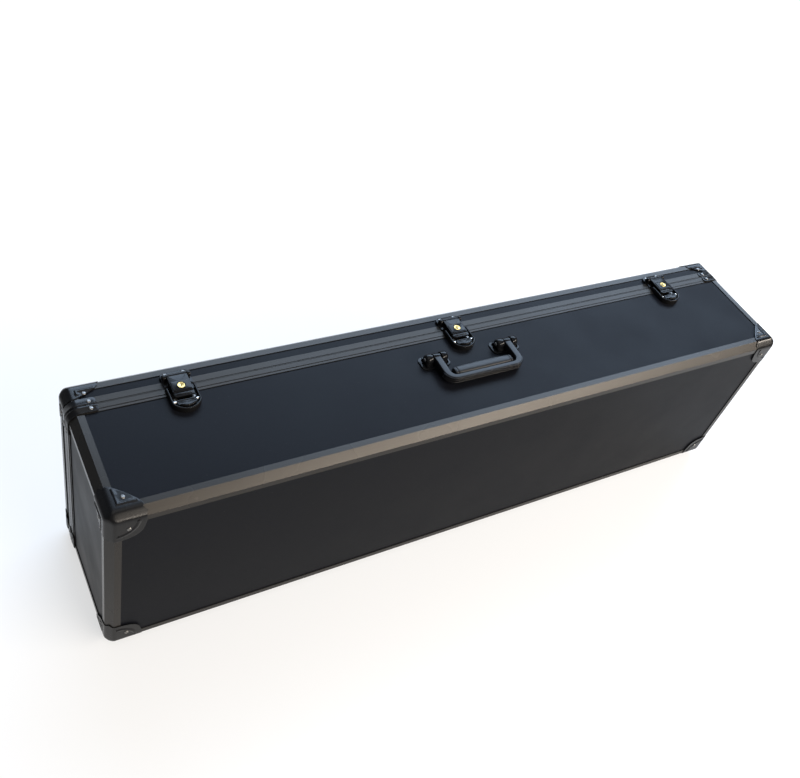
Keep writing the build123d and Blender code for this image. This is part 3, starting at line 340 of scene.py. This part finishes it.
def rim_bracket(side_x, side_y, side_z):
    """A flat section carried round the corner of the case: across is along Y, up is out of the case.
    Within 4 mm of an end the half width follows a quarter circle."""
    leg = CASE_BEVEL + BRACKET_OUT * (1 - 2**0.5 / 2) * 2 - BRACKET_OUT
    out = -BRACKET_OUT
    line = eased([(BRACKET_REACH, out), (20, out), (leg, out), (out, leg), (out, 20), (out, BRACKET_REACH)])
    steps = np.concatenate([[0], np.cumsum(np.linalg.norm(np.diff(line, axis=0), axis=1))])
    at = np.unique(np.concatenate([steps, NEAR_END, steps[-1] - NEAR_END]))
    line = np.stack([np.interp(at, steps, line[:, k]) for k in (0, 1)], -1)
    run = np.gradient(line, axis=0)
    run /= np.linalg.norm(run, axis=1, keepdims=True)
    outward = np.stack([run[:, 1], -run[:, 0]], -1)
    outward *= np.sign((outward * (line - BRACKET_REACH)).sum(-1))[:, None]
    corner = np.array([side_x * END_X, TOP_Z if side_z > 0 else LOW_Z])
    signs = -np.array([side_x, side_z])
    from_end = np.minimum(at, at[-1] - at)
    bend = np.sqrt(BRACKET_END**2 - np.clip(BRACKET_END - from_end, 0, BRACKET_END) ** 2)
    half_width = (RIM_WIDTH - SEAM_HALF) / 2 - BRACKET_END + bend
    share, height = np.array(BRACKET_SECTION).T
    share = share * -side_y
    middle_y = SEAM_Y + side_y * (SEAM_HALF + (RIM_WIDTH - SEAM_HALF) / 2)
    flat = corner + signs * (line[:, None] + height[None, :, None] * outward[:, None])
    y = middle_y + share[None] * half_width[:, None]
    return stack(np.stack([flat[..., 0], y, flat[..., 1]], -1))


for half, side_y in HALVES.items():
    strips = [rim_bracket(x, side_y, z) for x in (-1, 1) for z in (-1, 1)]
    piece(f"{half}_rim_corners", strips, hardware, half, "black_hardware", f"{half}_rim_brackets")

# ---- Rivets ---------------------------------------------------------------------------------
# Blind rivets hold protectors, brackets, latches and hinges. Each has a low domed head with the
# end of its pulled mandrel in a dimple at the middle.
RIVET_HEAD = [(3.0, -0.2), (3.0, 0.25), (2.8, 0.62), (2.3, 0.95), (1.7, 1.18), (1.25, 1.28), (1.05, 1.22),
              (0.95, 0.8), (0.9, 0.75), (0.8, 0.9), (0.4, 1.0), (0.0, 1.02)]
LATCH_Z = TOP_Z + RIM_PROUD
LATCHES = {side: 1000 * sum(corner.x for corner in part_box(f"{side}_lock")) / 2
           for side in ("left", "middle", "right")}
HINGES = (-380.0, 0.0, 380.0)
HINGE_PROUD = 2.3
GUARD_RIVET, LID_GUARD_RIVET, BRACKET_RIVET = 27, 24, 29  # in from the outside of the case

rivet_metal = finish("rivet_steel", (0.16, 0.155, 0.15), 0.32, metal=0.9, grain=(900.0, 900.0, 900.0),
                     tint=0.25, bump=0.1)


def turning(section, origin, out, count=26):
    """A turned shape: section is (radius, height along out), carried once round the axis."""
    out = np.array(out, float)
    side = np.cross(out, Y if abs(out[1]) < 0.9 else X)
    turn = np.linspace(0, 2 * np.pi, count, endpoint=False)[:, None]
    round_ = np.cos(turn) * side + np.sin(turn) * np.cross(out, side)
    radius, height = np.array(section, float).T
    return stack(np.array(origin) + radius[:, None, None] * round_ + height[:, None, None] * out)


def rivets(half, side_y):
    """All rivet heads of one half: on guards, rim brackets, latches and hinges."""
    set_y = side_y * (FACE_Y - (GUARD_RIVET if half == "base" else LID_GUARD_RIVET))
    mid_z, half_z = (TOP_Z + LOW_Z) / 2, (TOP_Z - LOW_Z) / 2
    spots = []
    for x in (-1, 1):
        for z in (-1, 1):
            px, pz = x * (END_X - GUARD_RIVET), mid_z + z * (half_z - GUARD_RIVET)
            spots += [((px, set_y, mid_z + z * (half_z + GUARD_WALL)), z * Z),
                      ((px, side_y * (FACE_Y + GUARD_WALL), pz), side_y * Y),
                      ((x * (END_X + GUARD_WALL), set_y, pz), x * X)]
            y = SEAM_Y + side_y * RIM_WIDTH / 2
            spots += [((x * (END_X - BRACKET_RIVET), y, mid_z + z * (half_z + BRACKET_OUT)), z * Z),
                      ((x * (END_X + BRACKET_OUT), y, mid_z + z * (half_z - BRACKET_RIVET)), x * X)]
    from_seam, height = (-23, 1.6) if half == "base" else (22, 2.0)
    spots += [((x + side * 12.5, SEAM_Y + from_seam, LATCH_Z + height), Z)
              for x in LATCHES.values() for side in (-1, 1)]
    spots += [((x + step * 20, SEAM_Y + side_y * 19, LOW_Z - HINGE_PROUD), -Z)
              for x in HINGES for step in (-1, 0, 1)]
    return [turning(RIVET_HEAD, spot, out, 22) for spot, out in spots]


for half, side_y in HALVES.items():
    piece(f"{half}_rivet_heads", rivets(half, side_y), rivet_metal, half, "rivet_metal", f"{half}_rivets")

# ---- Latches --------------------------------------------------------------------------------
# Three key latches, die cast and coated black. Each has a tray with a round end on the base, a
# hinged plate on the lid with a raised pad, a key cylinder in the pad, and a sprung finger tab.
BRASS = (0.40, 0.28, 0.10)

brass = finish("lock_brass", BRASS, 0.28, metal=1.0, grain=(700.0, 700.0, 700.0), tint=0.2, bump=0.12)
casting = finish("black_casting", (0.0045, 0.0045, 0.0049), 0.19, specular=0.09, coat=0.0,
                 grain=(650.0, 650.0, 650.0), tint=0.2, swing=0.05, bump=0.04, flecks=0.05)


def rounded(corners, radius, spacing=1.6):
    """A closed anticlockwise loop through corners, each rounded by an arc that touches both of its
    runs; points lie on the arcs and at even spacing between them."""
    corners = np.array(corners, float)
    arcs = []
    for corner, before, after, bend in zip(corners, np.roll(corners, 1, 0), np.roll(corners, -1, 0),
                                           np.broadcast_to(radius, len(corners))):
        back, on = ((other - corner) / np.linalg.norm(other - corner) for other in (before, after))
        half = np.arccos(np.clip(back @ on, -1, 1)) / 2
        centre = corner + (back + on) / max(np.linalg.norm(back + on), 1e-9) * bend / np.sin(half)
        start, end = (corner + way * bend / np.tan(half) - centre for way in (back, on))
        swing, share = np.pi - 2 * half, np.linspace(0, 1, 9)[:, None]
        arc = np.sin((1 - share) * swing) * start + np.sin(share * swing) * end
        arcs.append(centre + arc / max(np.sin(swing), 1e-9))
    line = np.vstack([*arcs, arcs[0][:1]])
    steps = np.concatenate([[0], np.cumsum(np.linalg.norm(np.diff(line, axis=0), axis=1))])
    at = np.unique(np.round(np.concatenate([steps, np.arange(0, steps[-1], spacing)]), 2))
    at = at[at < steps[-1] - 0.01]
    return np.stack([np.interp(at, steps, line[:, k]) for k in (0, 1)], -1)


def shield(half_width, seam_end, straight, tip, corner=1.2):
    """Outline of a latch part from above: straight sides from the seam, and a round end on a circle
    through both sides' ends and the tip."""
    sag = tip - straight
    bend = (half_width**2 + sag**2) / (2 * sag)
    turn = np.linspace(-1, 1, 25) * np.arcsin(half_width / bend)
    arc = np.stack([bend * np.sin(turn), bend - tip - bend * np.cos(turn)], -1)
    return rounded([*arc, (half_width, seam_end), (-half_width, seam_end)], [0.01] * 25 + [corner] * 2)


def pressing(loop, section, origin, across=X, along=Y, out=Z, lift=None, bore=None):
    """A pressed or cast part: section is (inset, height), carried round the loop from the foot of its
    wall to its face. lift changes heights by place. bore goes on from the face to other loops,
    each at its own height, and down into them."""
    run = np.roll(loop, -1, 0) - np.roll(loop, 1, 0)
    inward = np.stack([-run[:, 1], run[:, 0]], -1) / np.linalg.norm(run, axis=1, keepdims=True)
    inset, height = np.array(section, float).T
    flat = loop + inset[:, None, None] * inward
    level = np.repeat(height[:, None], len(loop), 1)
    if lift:
        level = lift(flat[..., 1], level)
    if bore:
        flat = np.concatenate([flat, np.array([inner for inner, _ in bore])])
        depths = np.array([[z] for _, z in bore], float)
        level = np.concatenate([level, np.repeat(depths, len(loop), 1)])
    return stack(np.array(origin) + flat[..., :1] * across + flat[..., 1:] * along + level[..., None] * out)


def smooth(value):
    """0 below 0, 1 above 1, and a smooth step between."""
    value = np.clip(value, 0, 1)
    return value * value * (3 - 2 * value)


TRAY_FLOOR, TAB_FACE = 1.6, 6.4
TRAY = [(0, -1.9), (0, 5.5), (0.2, 6.3), (0.7, 6.85), (1.4, 7.0), (2.1, 6.9), (2.7, 6.3), (2.95, 5.4),
        (3.0, 2.4), (3.3, 1.85), (4.2, TRAY_FLOOR)]
TAB = [(1.0, 4.4), (0.3, 4.55), (0, 5.0), (0, 8.7), (0.2, 9.1), (0.7, 9.35), (1.2, 9.1), (1.4, 8.7),
       (1.7, 6.9), (2.4, TAB_FACE)]
PLATE = [(0, -1.9), (0, 1.4), (0.2, 1.8), (0.7, 2.0)]
HINGE_EAR = [(0.6, 14.5), (0.15, 14.65), (0, 15.0), (0, 18.0), (0.3, 18.7), (1.0, 19.0)]
PAD = [(0, 9.5), (0, 10.3), (0.2, 10.65), (0.7, 10.8)]
LOCK_MOUTH = [(6.3, 10.8), (5.9, 10.95), (5.5, 10.8), (5.35, 10.4), (5.35, 9.0)]  # radius, height
BARREL = [(3.5, -14), (4, -13.4), (4, 13.4), (3.5, 14)]
LIP_ROLL = [(0, -10), (0.5, -10), (0.9, -9.4), (0.9, 9.4), (0.5, 10), (0, 10)]
LOCK_COLLAR = [(6.2, 3.6), (7, 4.2), (7, 7.0)]
LOCK_FACE = [(0, 3.35), (0, 10.7), (0.25, 11.05), (1.0, 11.1), (1.25, 10.98)]
TAB_BARREL = [(1.9, -13), (2.45, -12.5), (2.45, 12.5), (1.9, 13)]
BLADE = [(1.2, 0), (0.3, 0.15), (0, 0.6), (0, -0.7), (0.25, -0.2), (0.8, 0)]
LOCK_AT = -7.0


def blade(loop, bottom, top, origin):
    """A flat plate with rounded edges: the section's first three points are set from its bottom and
    the others from its top."""
    section = [(inset, (bottom if index < 3 else top) + height)
               for index, (inset, height) in enumerate(BLADE)]
    return pressing(loop, section, origin)


def ring_about(loop, centre, radius):
    """The circle round centre whose points lie in line with the loop's."""
    off = loop - centre
    return centre + radius * off / np.linalg.norm(off, axis=1, keepdims=True)


def slot_about(loop, half_width, half_length):
    """The key slot's outline, its points in line with those of a loop round it."""
    return loop / np.maximum(abs(loop[:, :1]) / half_width, abs(loop[:, 1:]) / half_length)


def tray_lift(v, z):
    """Lets the tray's wall down to its floor as it nears the seam."""
    return np.where(z > TRAY_FLOOR, TRAY_FLOOR + (z - TRAY_FLOOR) * smooth((-0.9 - v) / 4.5), z)


def tab_lift(v, z):
    """Lets the tab's rim down to its face, away from the tab's round end."""
    return np.where(z > TAB_FACE, TAB_FACE + (z - TAB_FACE) * smooth((-35.0 - v) / 2.5), z)


trays, lid_plates = [], []
for side, x in LATCHES.items():
    seat = np.array([x, SEAM_Y, LATCH_Z])
    trays.append(pressing(shield(20, -0.8, 32, 45), TRAY, seat, lift=tray_lift))
    plate = rounded([(-20, 0.8), (20, 0.8), (20, 25.8), (-20, 25.8)], [1, 1, 6, 6])
    lid_plates.append(pressing(plate, PLATE, seat))
    ear = rounded([(10, -0.5), (18, -0.5), (18, 10.4), (10, 10.4)], [0.1, 0.1, 3.9, 3.9], 1.0)
    for way in (-1, 1):
        lid_plates.append(pressing(ear, HINGE_EAR, seat, Y, Z, way * X))

    pad = rounded([(-12.5, -15.5), (12.5, -15.5), (12.5, 1.5), (-12.5, 1.5)], 2.2, 1.0)
    centre = np.array([0, LOCK_AT])
    bore = [(ring_about(pad, centre, radius), z) for radius, z in LOCK_MOUTH]
    strap = rounded([(-14, -17), (14, -17), (14, 14), (-14, 14)], [1.2, 1.2, 0.5, 0.5])
    lip = rounded([(-14, -24), (14, -24), (14, -15), (-14, -15)], [4, 4, 0.5, 0.5])
    hasp = [
        blade(strap, 6.6, 9.8, seat),
        blade(lip, 6.6, 8.5, seat),
        pressing(pad, PAD, seat, bore=bore),
        turning(BARREL, seat + [0, 14, 6.4], X),
        turning(LIP_ROLL, seat + [0, -20.3, 8.5], X, 12),
        turning(LOCK_COLLAR, seat + [0, LOCK_AT, 0], Z),
    ]
    piece(f"{side}_latch_lever", hasp, casting, f"{side}_hasp", "black_hardware", f"{side}_hasp")

    disc = ring_about(rounded([(-4, -4), (4, -4), (4, 4), (-4, 4)], 1, 0.6), np.zeros(2), 5.0)
    key_slot = slot_about(disc, 0.45, 2.5)
    key = [(slot_about(disc, 0.7, 2.7), 10.98), (key_slot, 10.85), (key_slot, 8.9)]
    cam = rounded([(-2, -19), (2, -19), (4, -7.5), (3, -3.2), (-3, -3.2), (-4, -7.5)],
                  [0.8, 0.8, 1.5, 1.5, 1.5, 1.5])
    lock = [
        pressing(disc, LOCK_FACE, seat + [0, LOCK_AT, 0], bore=key),
        blade(cam, 2.15, 3.4, seat),
    ]
    piece(f"{side}_key_lock", lock, brass, f"{side}_lock", "lock_brass", f"{side}_lock")

    tab = [
        pressing(shield(13, -28, 33, 41), TAB, seat, lift=tab_lift),
        turning(TAB_BARREL, seat + [0, -29, 4.4], X),
    ]
    piece(f"{side}_finger_tab", tab, casting, f"{side}_tab", "black_hardware", f"{side}_latch_tab")

piece("latch_trays", trays, casting, "base", "black_hardware", "latch_keepers")
dress(casting, "latch_strikes")
piece("latch_plates", lid_plates, casting, "lid", "black_hardware", "latch_lid_plates")

# ---- Handle ---------------------------------------------------------------------------------
# A moulded plastic bail with flat arms and three ridges round its outer side, and a soft grip
# along the bar. It swings on two steel pins with domed ends, in brackets that are screwed on.
PANEL_TOP = TOP_Z - 1.2
HANDLE = np.array([0.0, SEAM_Y - 53.0, PANEL_TOP + 9.5])
ARM_X = 64.0

GRIP_HALF, GRIP_Y = 52, -34.0
PIVOT = [(6.0, -6), (6.8, -5.5), (7, -4.8), (7, 4.8), (6.8, 5.5), (6.0, 6)]
MOUNT_FOOT = [(0, -0.2), (0, 1.1), (0.3, 1.65), (1.2, 2.0)]
MOUNT_EAR = [(1.2, 0), (0.3, 0.3), (0, 1.0), (0, 6.5), (0.4, 8.6), (1.4, 10.2), (2.8, 11.1), (4.4, 11.5)]
AXLE = [(0, -0.9), (1.6, -0.8), (2.7, -0.45), (3.2, 0.1), (2.5, 0.3), (2.5, 37.7), (3.2, 37.9),
        (2.7, 38.45), (1.6, 38.8), (0, 38.9)]

plastic = finish("handle_plastic", (0.0050, 0.0052, 0.0060), 0.15, specular=0.10, coat=0.0,
                 grain=(500.0, 500.0, 500.0), tint=0.15, swing=0.04, bump=0.03, flecks=0.05)
soft_grip = finish("grip_rubber", (0.0080, 0.0083, 0.0096), 0.42, specular=0.20,
                   grain=(750.0, 750.0, 750.0), tint=0.3, swing=0.06, bump=0.5, relief=0.0003)


def sweep(path, across, up, section):
    """A section carried along a path: each of its points lies at path plus its two distances along
    across and up. The section may be one for the whole path or one for each point."""
    section = np.broadcast_to(section, (len(path), *np.shape(section)[-2:]))
    return stack(path[:, None] + section[..., :1] * across[:, None] + section[..., 1:] * up[:, None])


def soft_box(half_u, half_v, square=0.42, count=36):
    """A superellipse section: half sizes times signed powers of cosine and sine."""
    turn = np.linspace(0, 2 * np.pi, count, endpoint=False)
    c, s = np.cos(turn), np.sin(turn)
    return np.stack([half_u * np.sign(c) * abs(c) ** square, half_v * np.sign(s) * abs(s) ** square], -1)


def bail_line(side_x, end_y, corner_x, corner_y, bend):
    """Half of the bail's outline from the pin to the middle of the bar, round one corner."""
    turn = np.linspace(0, np.pi / 2, 12)
    arc = np.stack([corner_x + bend * np.cos(turn), corner_y - bend * np.sin(turn)], -1)
    arm = np.stack([np.full(6, side_x), np.linspace(0, corner_y, 7)[:-1]], -1)
    bar = np.stack([np.linspace(corner_x, 0, 9)[1:], np.full(8, end_y)], -1)
    return np.vstack([arm, arc, bar])


outer_half, inner_half = bail_line(70, -50, 52, -32, 18), bail_line(58, -42, 50, -34, 8)
outer, inner = (np.vstack([half, (half * (-1, 1))[-2::-1]]) for half in (outer_half, inner_half))
between = (outer + inner) / 2
reach = np.linalg.norm(outer - inner, axis=1)
way = (outer - inner) / reach[:, None]
upward = np.tile(Z, (len(between), 1))
flat3 = np.concatenate([between, np.zeros((len(between), 1))], -1) + HANDLE
way3 = np.concatenate([way, np.zeros((len(way), 1))], -1)
sections = soft_box(1, 6, 0.3)[None] * np.stack([reach / 2, np.ones(len(reach))], -1)[:, None]
bail = [sweep(flat3, way3, upward, sections)]
for side in (-1, 1):
    bail.append(turning(PIVOT, HANDLE + [side * ARM_X, 0, 0], X, 36))
piece("handle_loop", bail, plastic, "handle", "handle_plastic", "handle_bail")

ridge_run = slice(6, len(outer) - 6)
ridge_path = np.concatenate([outer, np.zeros((len(outer), 1))], -1)[ridge_run] + HANDLE
count = np.arange(len(ridge_path))
taper = smooth(np.minimum(count, count[::-1]) / 3 + 0.2)
ridges = [sweep(ridge_path + [0, 0, step * 3.8], way3[ridge_run], upward[ridge_run],
                soft_box(1.35, 1.35, 1.0, 14)[None] * taper[:, None, None]) for step in (-1, 0, 1)]
piece("handle_outer_ridges", ridges, plastic, "handle", "handle_plastic", "handle_ridges")

# The grip thins towards its ends, has a fine groove 47 mm from its middle, and closes at the ends.
near_groove = np.array([46.0, 46.6, 47.0, 47.4, 48.0, 51.3, 51.8])
along_x = np.unique(np.concatenate([np.linspace(-GRIP_HALF, GRIP_HALF, 53), -near_groove, near_groove]))
crown = 1 - 0.13 * abs(along_x / GRIP_HALF) ** 2.5
crown -= 0.09 * np.exp(-((abs(along_x) - 47) / 0.45) ** 2)
crown *= np.sqrt(1 - np.clip((abs(along_x) - 50.5) / 1.6, 0, 1) ** 2 * 0.75)
grip_path = np.stack([along_x, np.full(len(along_x), GRIP_Y), np.zeros(len(along_x))], -1) + HANDLE
grip = sweep(grip_path, np.tile(Y, (len(along_x), 1)), np.tile(Z, (len(along_x), 1)),
             soft_box(8, 7, 0.62, 40)[None] * crown[:, None, None])
piece("handle_soft_grip", [grip], soft_grip, "handle", "grip_rubber", "handle_grip")

brackets, pins = [], []
ear = rounded([(-10.5, -8.5), (10.5, -8.5), (8, -1.5), (8, 8), (-8, 8), (-8, -1.5)],
              [0.6, 0.6, 5, 7.9, 7.9, 5], 1.2)
for side in (-1, 1):
    foot = rounded([(-25, -13), (25, -13), (25, 13), (-25, 13)], 8.7)
    brackets.append(pressing(foot, MOUNT_FOOT, (side * ARM_X, HANDLE[1], PANEL_TOP)))
    for start, out in ((side * (ARM_X + 7.5), side), (side * (ARM_X - 7.5), -side)):
        brackets.append(pressing(ear, MOUNT_EAR, (start, HANDLE[1], HANDLE[2]), Y, Z, out * X))
    pins.append(turning(AXLE, HANDLE + [side * ARM_X - 19, 0, 0], X))
piece("handle_mounts", brackets, plastic, "base", "handle_plastic", "handle_brackets")
piece("handle_axles", pins, steel, "base", "pin_steel", "handle_pins")

# ---- Feet -----------------------------------------------------------------------------------
# Moulded rubber feet, glued to the side that the case stands on: four on the base, two on the lid.
FOOT = [(0, 6.6), (0.3, 7.5), (1.2, 8.0), (2.6, 8.0), (3.0, 7.7)]

rubber = finish("foot_rubber", (0.018, 0.018, 0.018), 0.7, specular=0.35, grain=(800.0, 800.0, 800.0),
                tint=0.3, bump=0.4)

for half, spots in (("base", (-84.0, 27.0)), ("lid", (94.0,))):
    loop = rounded([(-20, -6), (20, -6), (20, 6), (-20, 6)], 3.0, 1.0)
    top = -1.0 if half == "base" else 0.2
    feet = [pressing(loop, [(0, top), *FOOT], (side * 470, y, LOW_Z), out=-Z)
            for side in (-1, 1) for y in spots]
    piece(f"{half}_rubber_feet", feet, rubber, half, "foot_rubber", f"{half}_feet")

# ---- Foam -----------------------------------------------------------------------------------
# The base holds one block of dark open-celled foam, cut out for the fuselage, its wing stubs and
# spares. The lid has a pad with a waved face that presses on them. Both are glued in.
FOAM_X = END_X - 10.5
FOAM_Z = (TOP_Z - LOW_Z) / 2 - 10.5
MID_Z = (TOP_Z + LOW_Z) / 2
NOSE_X = FOAM_X - 60
BODY, TAIL = FOAM_Z / 2, FOAM_Z / 4.8
WALL = 1.6  # a pocket's wall leans by this much
MOUTH_GAP = 5.2  # from the seam to each block of foam
BACK_IN = 7.8  # from the outside of the case to the back of the foam
FUSELAGE_DEEP, SMALL_DEEP = 125.0, 62.5

foam = finish("foam", (0.030, 0.030, 0.033), 0.93, specular=0.2, grain=(560.0, 560.0, 560.0),
              tint=0.5, swing=0.03, bump=0.9, relief=0.0009)


def cut_lines(edges, low, high, step):
    """Grid lines from low to high: even steps, and pairs at each edge that a wall stands on."""
    near = [edge + off for edge in edges for off in (-0.3, 0.0, WALL / 2, WALL, WALL + 0.5)]
    near += [edge - off for edge in edges for off in (0.3, WALL / 2, WALL, WALL + 0.5)]
    lines = np.concatenate([np.arange(low, high, step), near, [low, high]])
    return np.unique(np.round(lines[(lines >= low) & (lines <= high)], 2))


def blanket(x, y, z, back_y):
    """A block whose worked face is the grid: sides go straight back from its border to back_y, and
    a fan closes the back."""
    x, y, z = (np.pad(grid, 1, mode="edge") for grid in (x, y, z))
    for edge in (np.s_[0], np.s_[-1], np.s_[:, 0], np.s_[:, -1]):
        y[edge] = back_y
    rows, columns = x.shape
    number = np.arange(rows * columns).reshape(rows, columns)
    quads = np.stack([number[:-1, :-1], number[:-1, 1:], number[1:, 1:], number[1:, :-1]], -1)
    quads = quads.reshape(-1, 4)
    border = np.concatenate([number[0, :-1], number[:-1, -1], number[-1, :0:-1], number[:0:-1, 0]])
    points = np.stack([x, y, z], -1).reshape(-1, 3)
    hub = np.full(len(border), len(points))
    tris = np.stack([np.roll(border, -1), border, hub], -1)
    return np.vstack([points, [0, back_y, MID_Z]]), quads, tris


def crest(distance):
    """Rounding of a block's outer edge: how far its face falls back near the border."""
    return 3.0 * (1 - np.sqrt(1 - np.clip(1 - distance / 3.0, 0, 1) ** 2))


slot_x, slot_half, slot_z = -0.3 * NOSE_X, 0.15 * NOSE_X, 0.85 * FOAM_Z
spare_x, spare_half, spare_z, spare_tall = 0.72 * NOSE_X, 0.18 * NOSE_X, 1.3 * BODY, 0.375 * BODY
x_lines = cut_lines([-NOSE_X, NOSE_X, slot_x - slot_half, slot_x + slot_half,
                     spare_x - spare_half, spare_x + spare_half], -FOAM_X, FOAM_X, 9.0)
half_body = np.interp(x_lines, [-NOSE_X, -0.8 * NOSE_X, 0.2 * NOSE_X, 0.5 * NOSE_X, NOSE_X],
                      [0.55 * BODY, BODY, BODY, TAIL, TAIL])
half_body = np.convolve(np.pad(half_body, 2, mode="edge"), np.ones(5) / 5, "valid")
inner_lines = np.concatenate([np.linspace(0, 0.93, 7), [1.0]])
off_lines = cut_lines([(slot_z - BODY) / (FOAM_Z - BODY) * 100,
                       (spare_z - spare_tall - TAIL) / (FOAM_Z - TAIL) * 100,
                       (spare_z + spare_tall - TAIL) / (FOAM_Z - TAIL) * 100], 4.0, 100.0, 8.0) / 100
z_half = np.concatenate([
    inner_lines[None] * (half_body[:, None] - WALL), half_body[:, None] - WALL / 2, half_body[:, None],
    half_body[:, None] + 0.6, half_body[:, None] + off_lines[None] * (FOAM_Z - half_body[:, None])], 1)
z_grid = np.concatenate([-z_half[:, :0:-1], z_half], 1)
x_grid = np.repeat(x_lines[:, None], z_grid.shape[1], 1)


def inside(*distances):
    """1 inside an outline and 0 outside, rising over the lean of a wall from its edges."""
    return smooth(np.minimum.reduce(distances) / WALL)


depth = FUSELAGE_DEEP * inside(half_body[:, None] - abs(z_grid), NOSE_X - abs(x_grid))
slots = inside(slot_half - abs(x_grid - slot_x), slot_z - abs(z_grid))
spares = inside(spare_half - abs(x_grid - spare_x), spare_tall - abs(abs(z_grid) - spare_z))
depth = np.maximum(depth, SMALL_DEEP * slots)
depth = np.maximum(depth, SMALL_DEEP * spares)
fall = crest(np.minimum(FOAM_X - abs(x_grid), FOAM_Z - abs(z_grid)))
ripple = 0.25 * np.sin(x_grid / 31) * np.cos(z_grid / 23)
foam_mouth = SEAM_Y - MOUTH_GAP
tray = blanket(x_grid, foam_mouth - depth - fall - 0.3 + ripple, z_grid + MID_Z, -FACE_Y + BACK_IN)
piece("base_foam_tray", [tray], foam, "base", "foam", "base_foam", sharp=50.0)

PITCH = 27.0  # between the crests of the lid's pad
x_grid, z_grid = np.meshgrid(np.linspace(-FOAM_X, FOAM_X, 260), np.linspace(-FOAM_Z, FOAM_Z, 72),
                             indexing="ij")
wave = 6.0 - 6.0 * np.cos(2 * np.pi * x_grid / PITCH) * np.cos(2 * np.pi * z_grid / PITCH)
fall = crest(np.minimum(FOAM_X - abs(x_grid), FOAM_Z - abs(z_grid)))
pad = blanket(x_grid, SEAM_Y + MOUTH_GAP + wave + fall, z_grid + MID_Z, FACE_Y - BACK_IN)
piece("lid_foam_pad", [pad], foam, "lid", "foam", "lid_foam", sharp=60.0)

# ---- Floor, lights and camera ---------------------------------------------------------------
# A pale floor that gives some light of its own, a broad cool light high behind the case, a warm
# strip of light in front of it, and a weak light overhead.
FLOOR_GREY = (0.26, 0.26, 0.26, 1.0)
FLOOR_GLOW = 0.62
WORLD_COLOUR, WORLD_LIGHT = (0.86, 0.92, 1.0, 1.0), 0.2
LIGHTS = {  # place, what it faces, its two sides in metres, watts, colour
    "sky_light": ((1.5, 2.4, 2.8), (0.0, 0.0, 0.3), (4.8, 2.0), 350.0, (0.60, 0.77, 1.0)),
    "warm_front": ((1.75, -2.6, 1.9), (0.0, -0.1, 0.3), (4.4, 0.36), 290.0, (1.0, 0.90, 0.78)),
    "overhead": ((-0.6, -0.4, 4.0), (0.0, 0.0, 0.0), (3.5, 3.5), 50.0, (1.0, 0.97, 0.93)),
}

bpy.ops.mesh.primitive_plane_add(size=60.0)
floor = bpy.context.object
floor.name = "floor"
paper = bpy.data.materials.new("floor_paper")
paper.use_nodes = True
paper_look = paper.node_tree.nodes["Principled BSDF"].inputs
paper_look["Base Color"].default_value = FLOOR_GREY
paper_look["Roughness"].default_value = 0.9
paper_look["Emission Color"].default_value = (1.0, 1.0, 1.0, 1.0)
paper_look["Emission Strength"].default_value = FLOOR_GLOW
floor.data.materials.append(paper)


def soft_light(name, spot, target, size, power, colour):
    """A rectangular light at spot that faces target."""
    data = bpy.data.lights.new(name, "AREA")
    data.shape = "RECTANGLE"
    data.size, data.size_y = size
    data.energy = power
    data.color = colour
    lamp = bpy.data.objects.new(name, data)
    lamp.location = spot
    lamp.rotation_euler = (Vector(target) - Vector(spot)).to_track_quat("-Z", "Y").to_euler()
    bpy.context.scene.collection.objects.link(lamp)


for name, settings in LIGHTS.items():
    soft_light(name, *settings)

world = bpy.data.worlds.new("studio")
world.use_nodes = True
world.node_tree.nodes["Background"].inputs["Color"].default_value = WORLD_COLOUR
world.node_tree.nodes["Background"].inputs["Strength"].default_value = WORLD_LIGHT
scene = bpy.context.scene
scene.world = world
scene.view_settings.view_transform = "Standard"

EYE = Vector((-0.7443, -0.7032, 1.2392))
AIM = Vector((-0.1413, -0.0225, 0.318))
ROLL = 18.87  # degrees
lens = bpy.data.cameras.new("camera")
lens.lens = 40.9
camera = bpy.data.objects.new("camera", lens)
camera.rotation_euler = (
    (AIM - EYE).to_track_quat("-Z", "Y").to_matrix() @ Matrix.Rotation(np.radians(ROLL), 3, "Z")
).to_euler()
camera.location = EYE
scene.collection.objects.link(camera)
scene.camera = camera
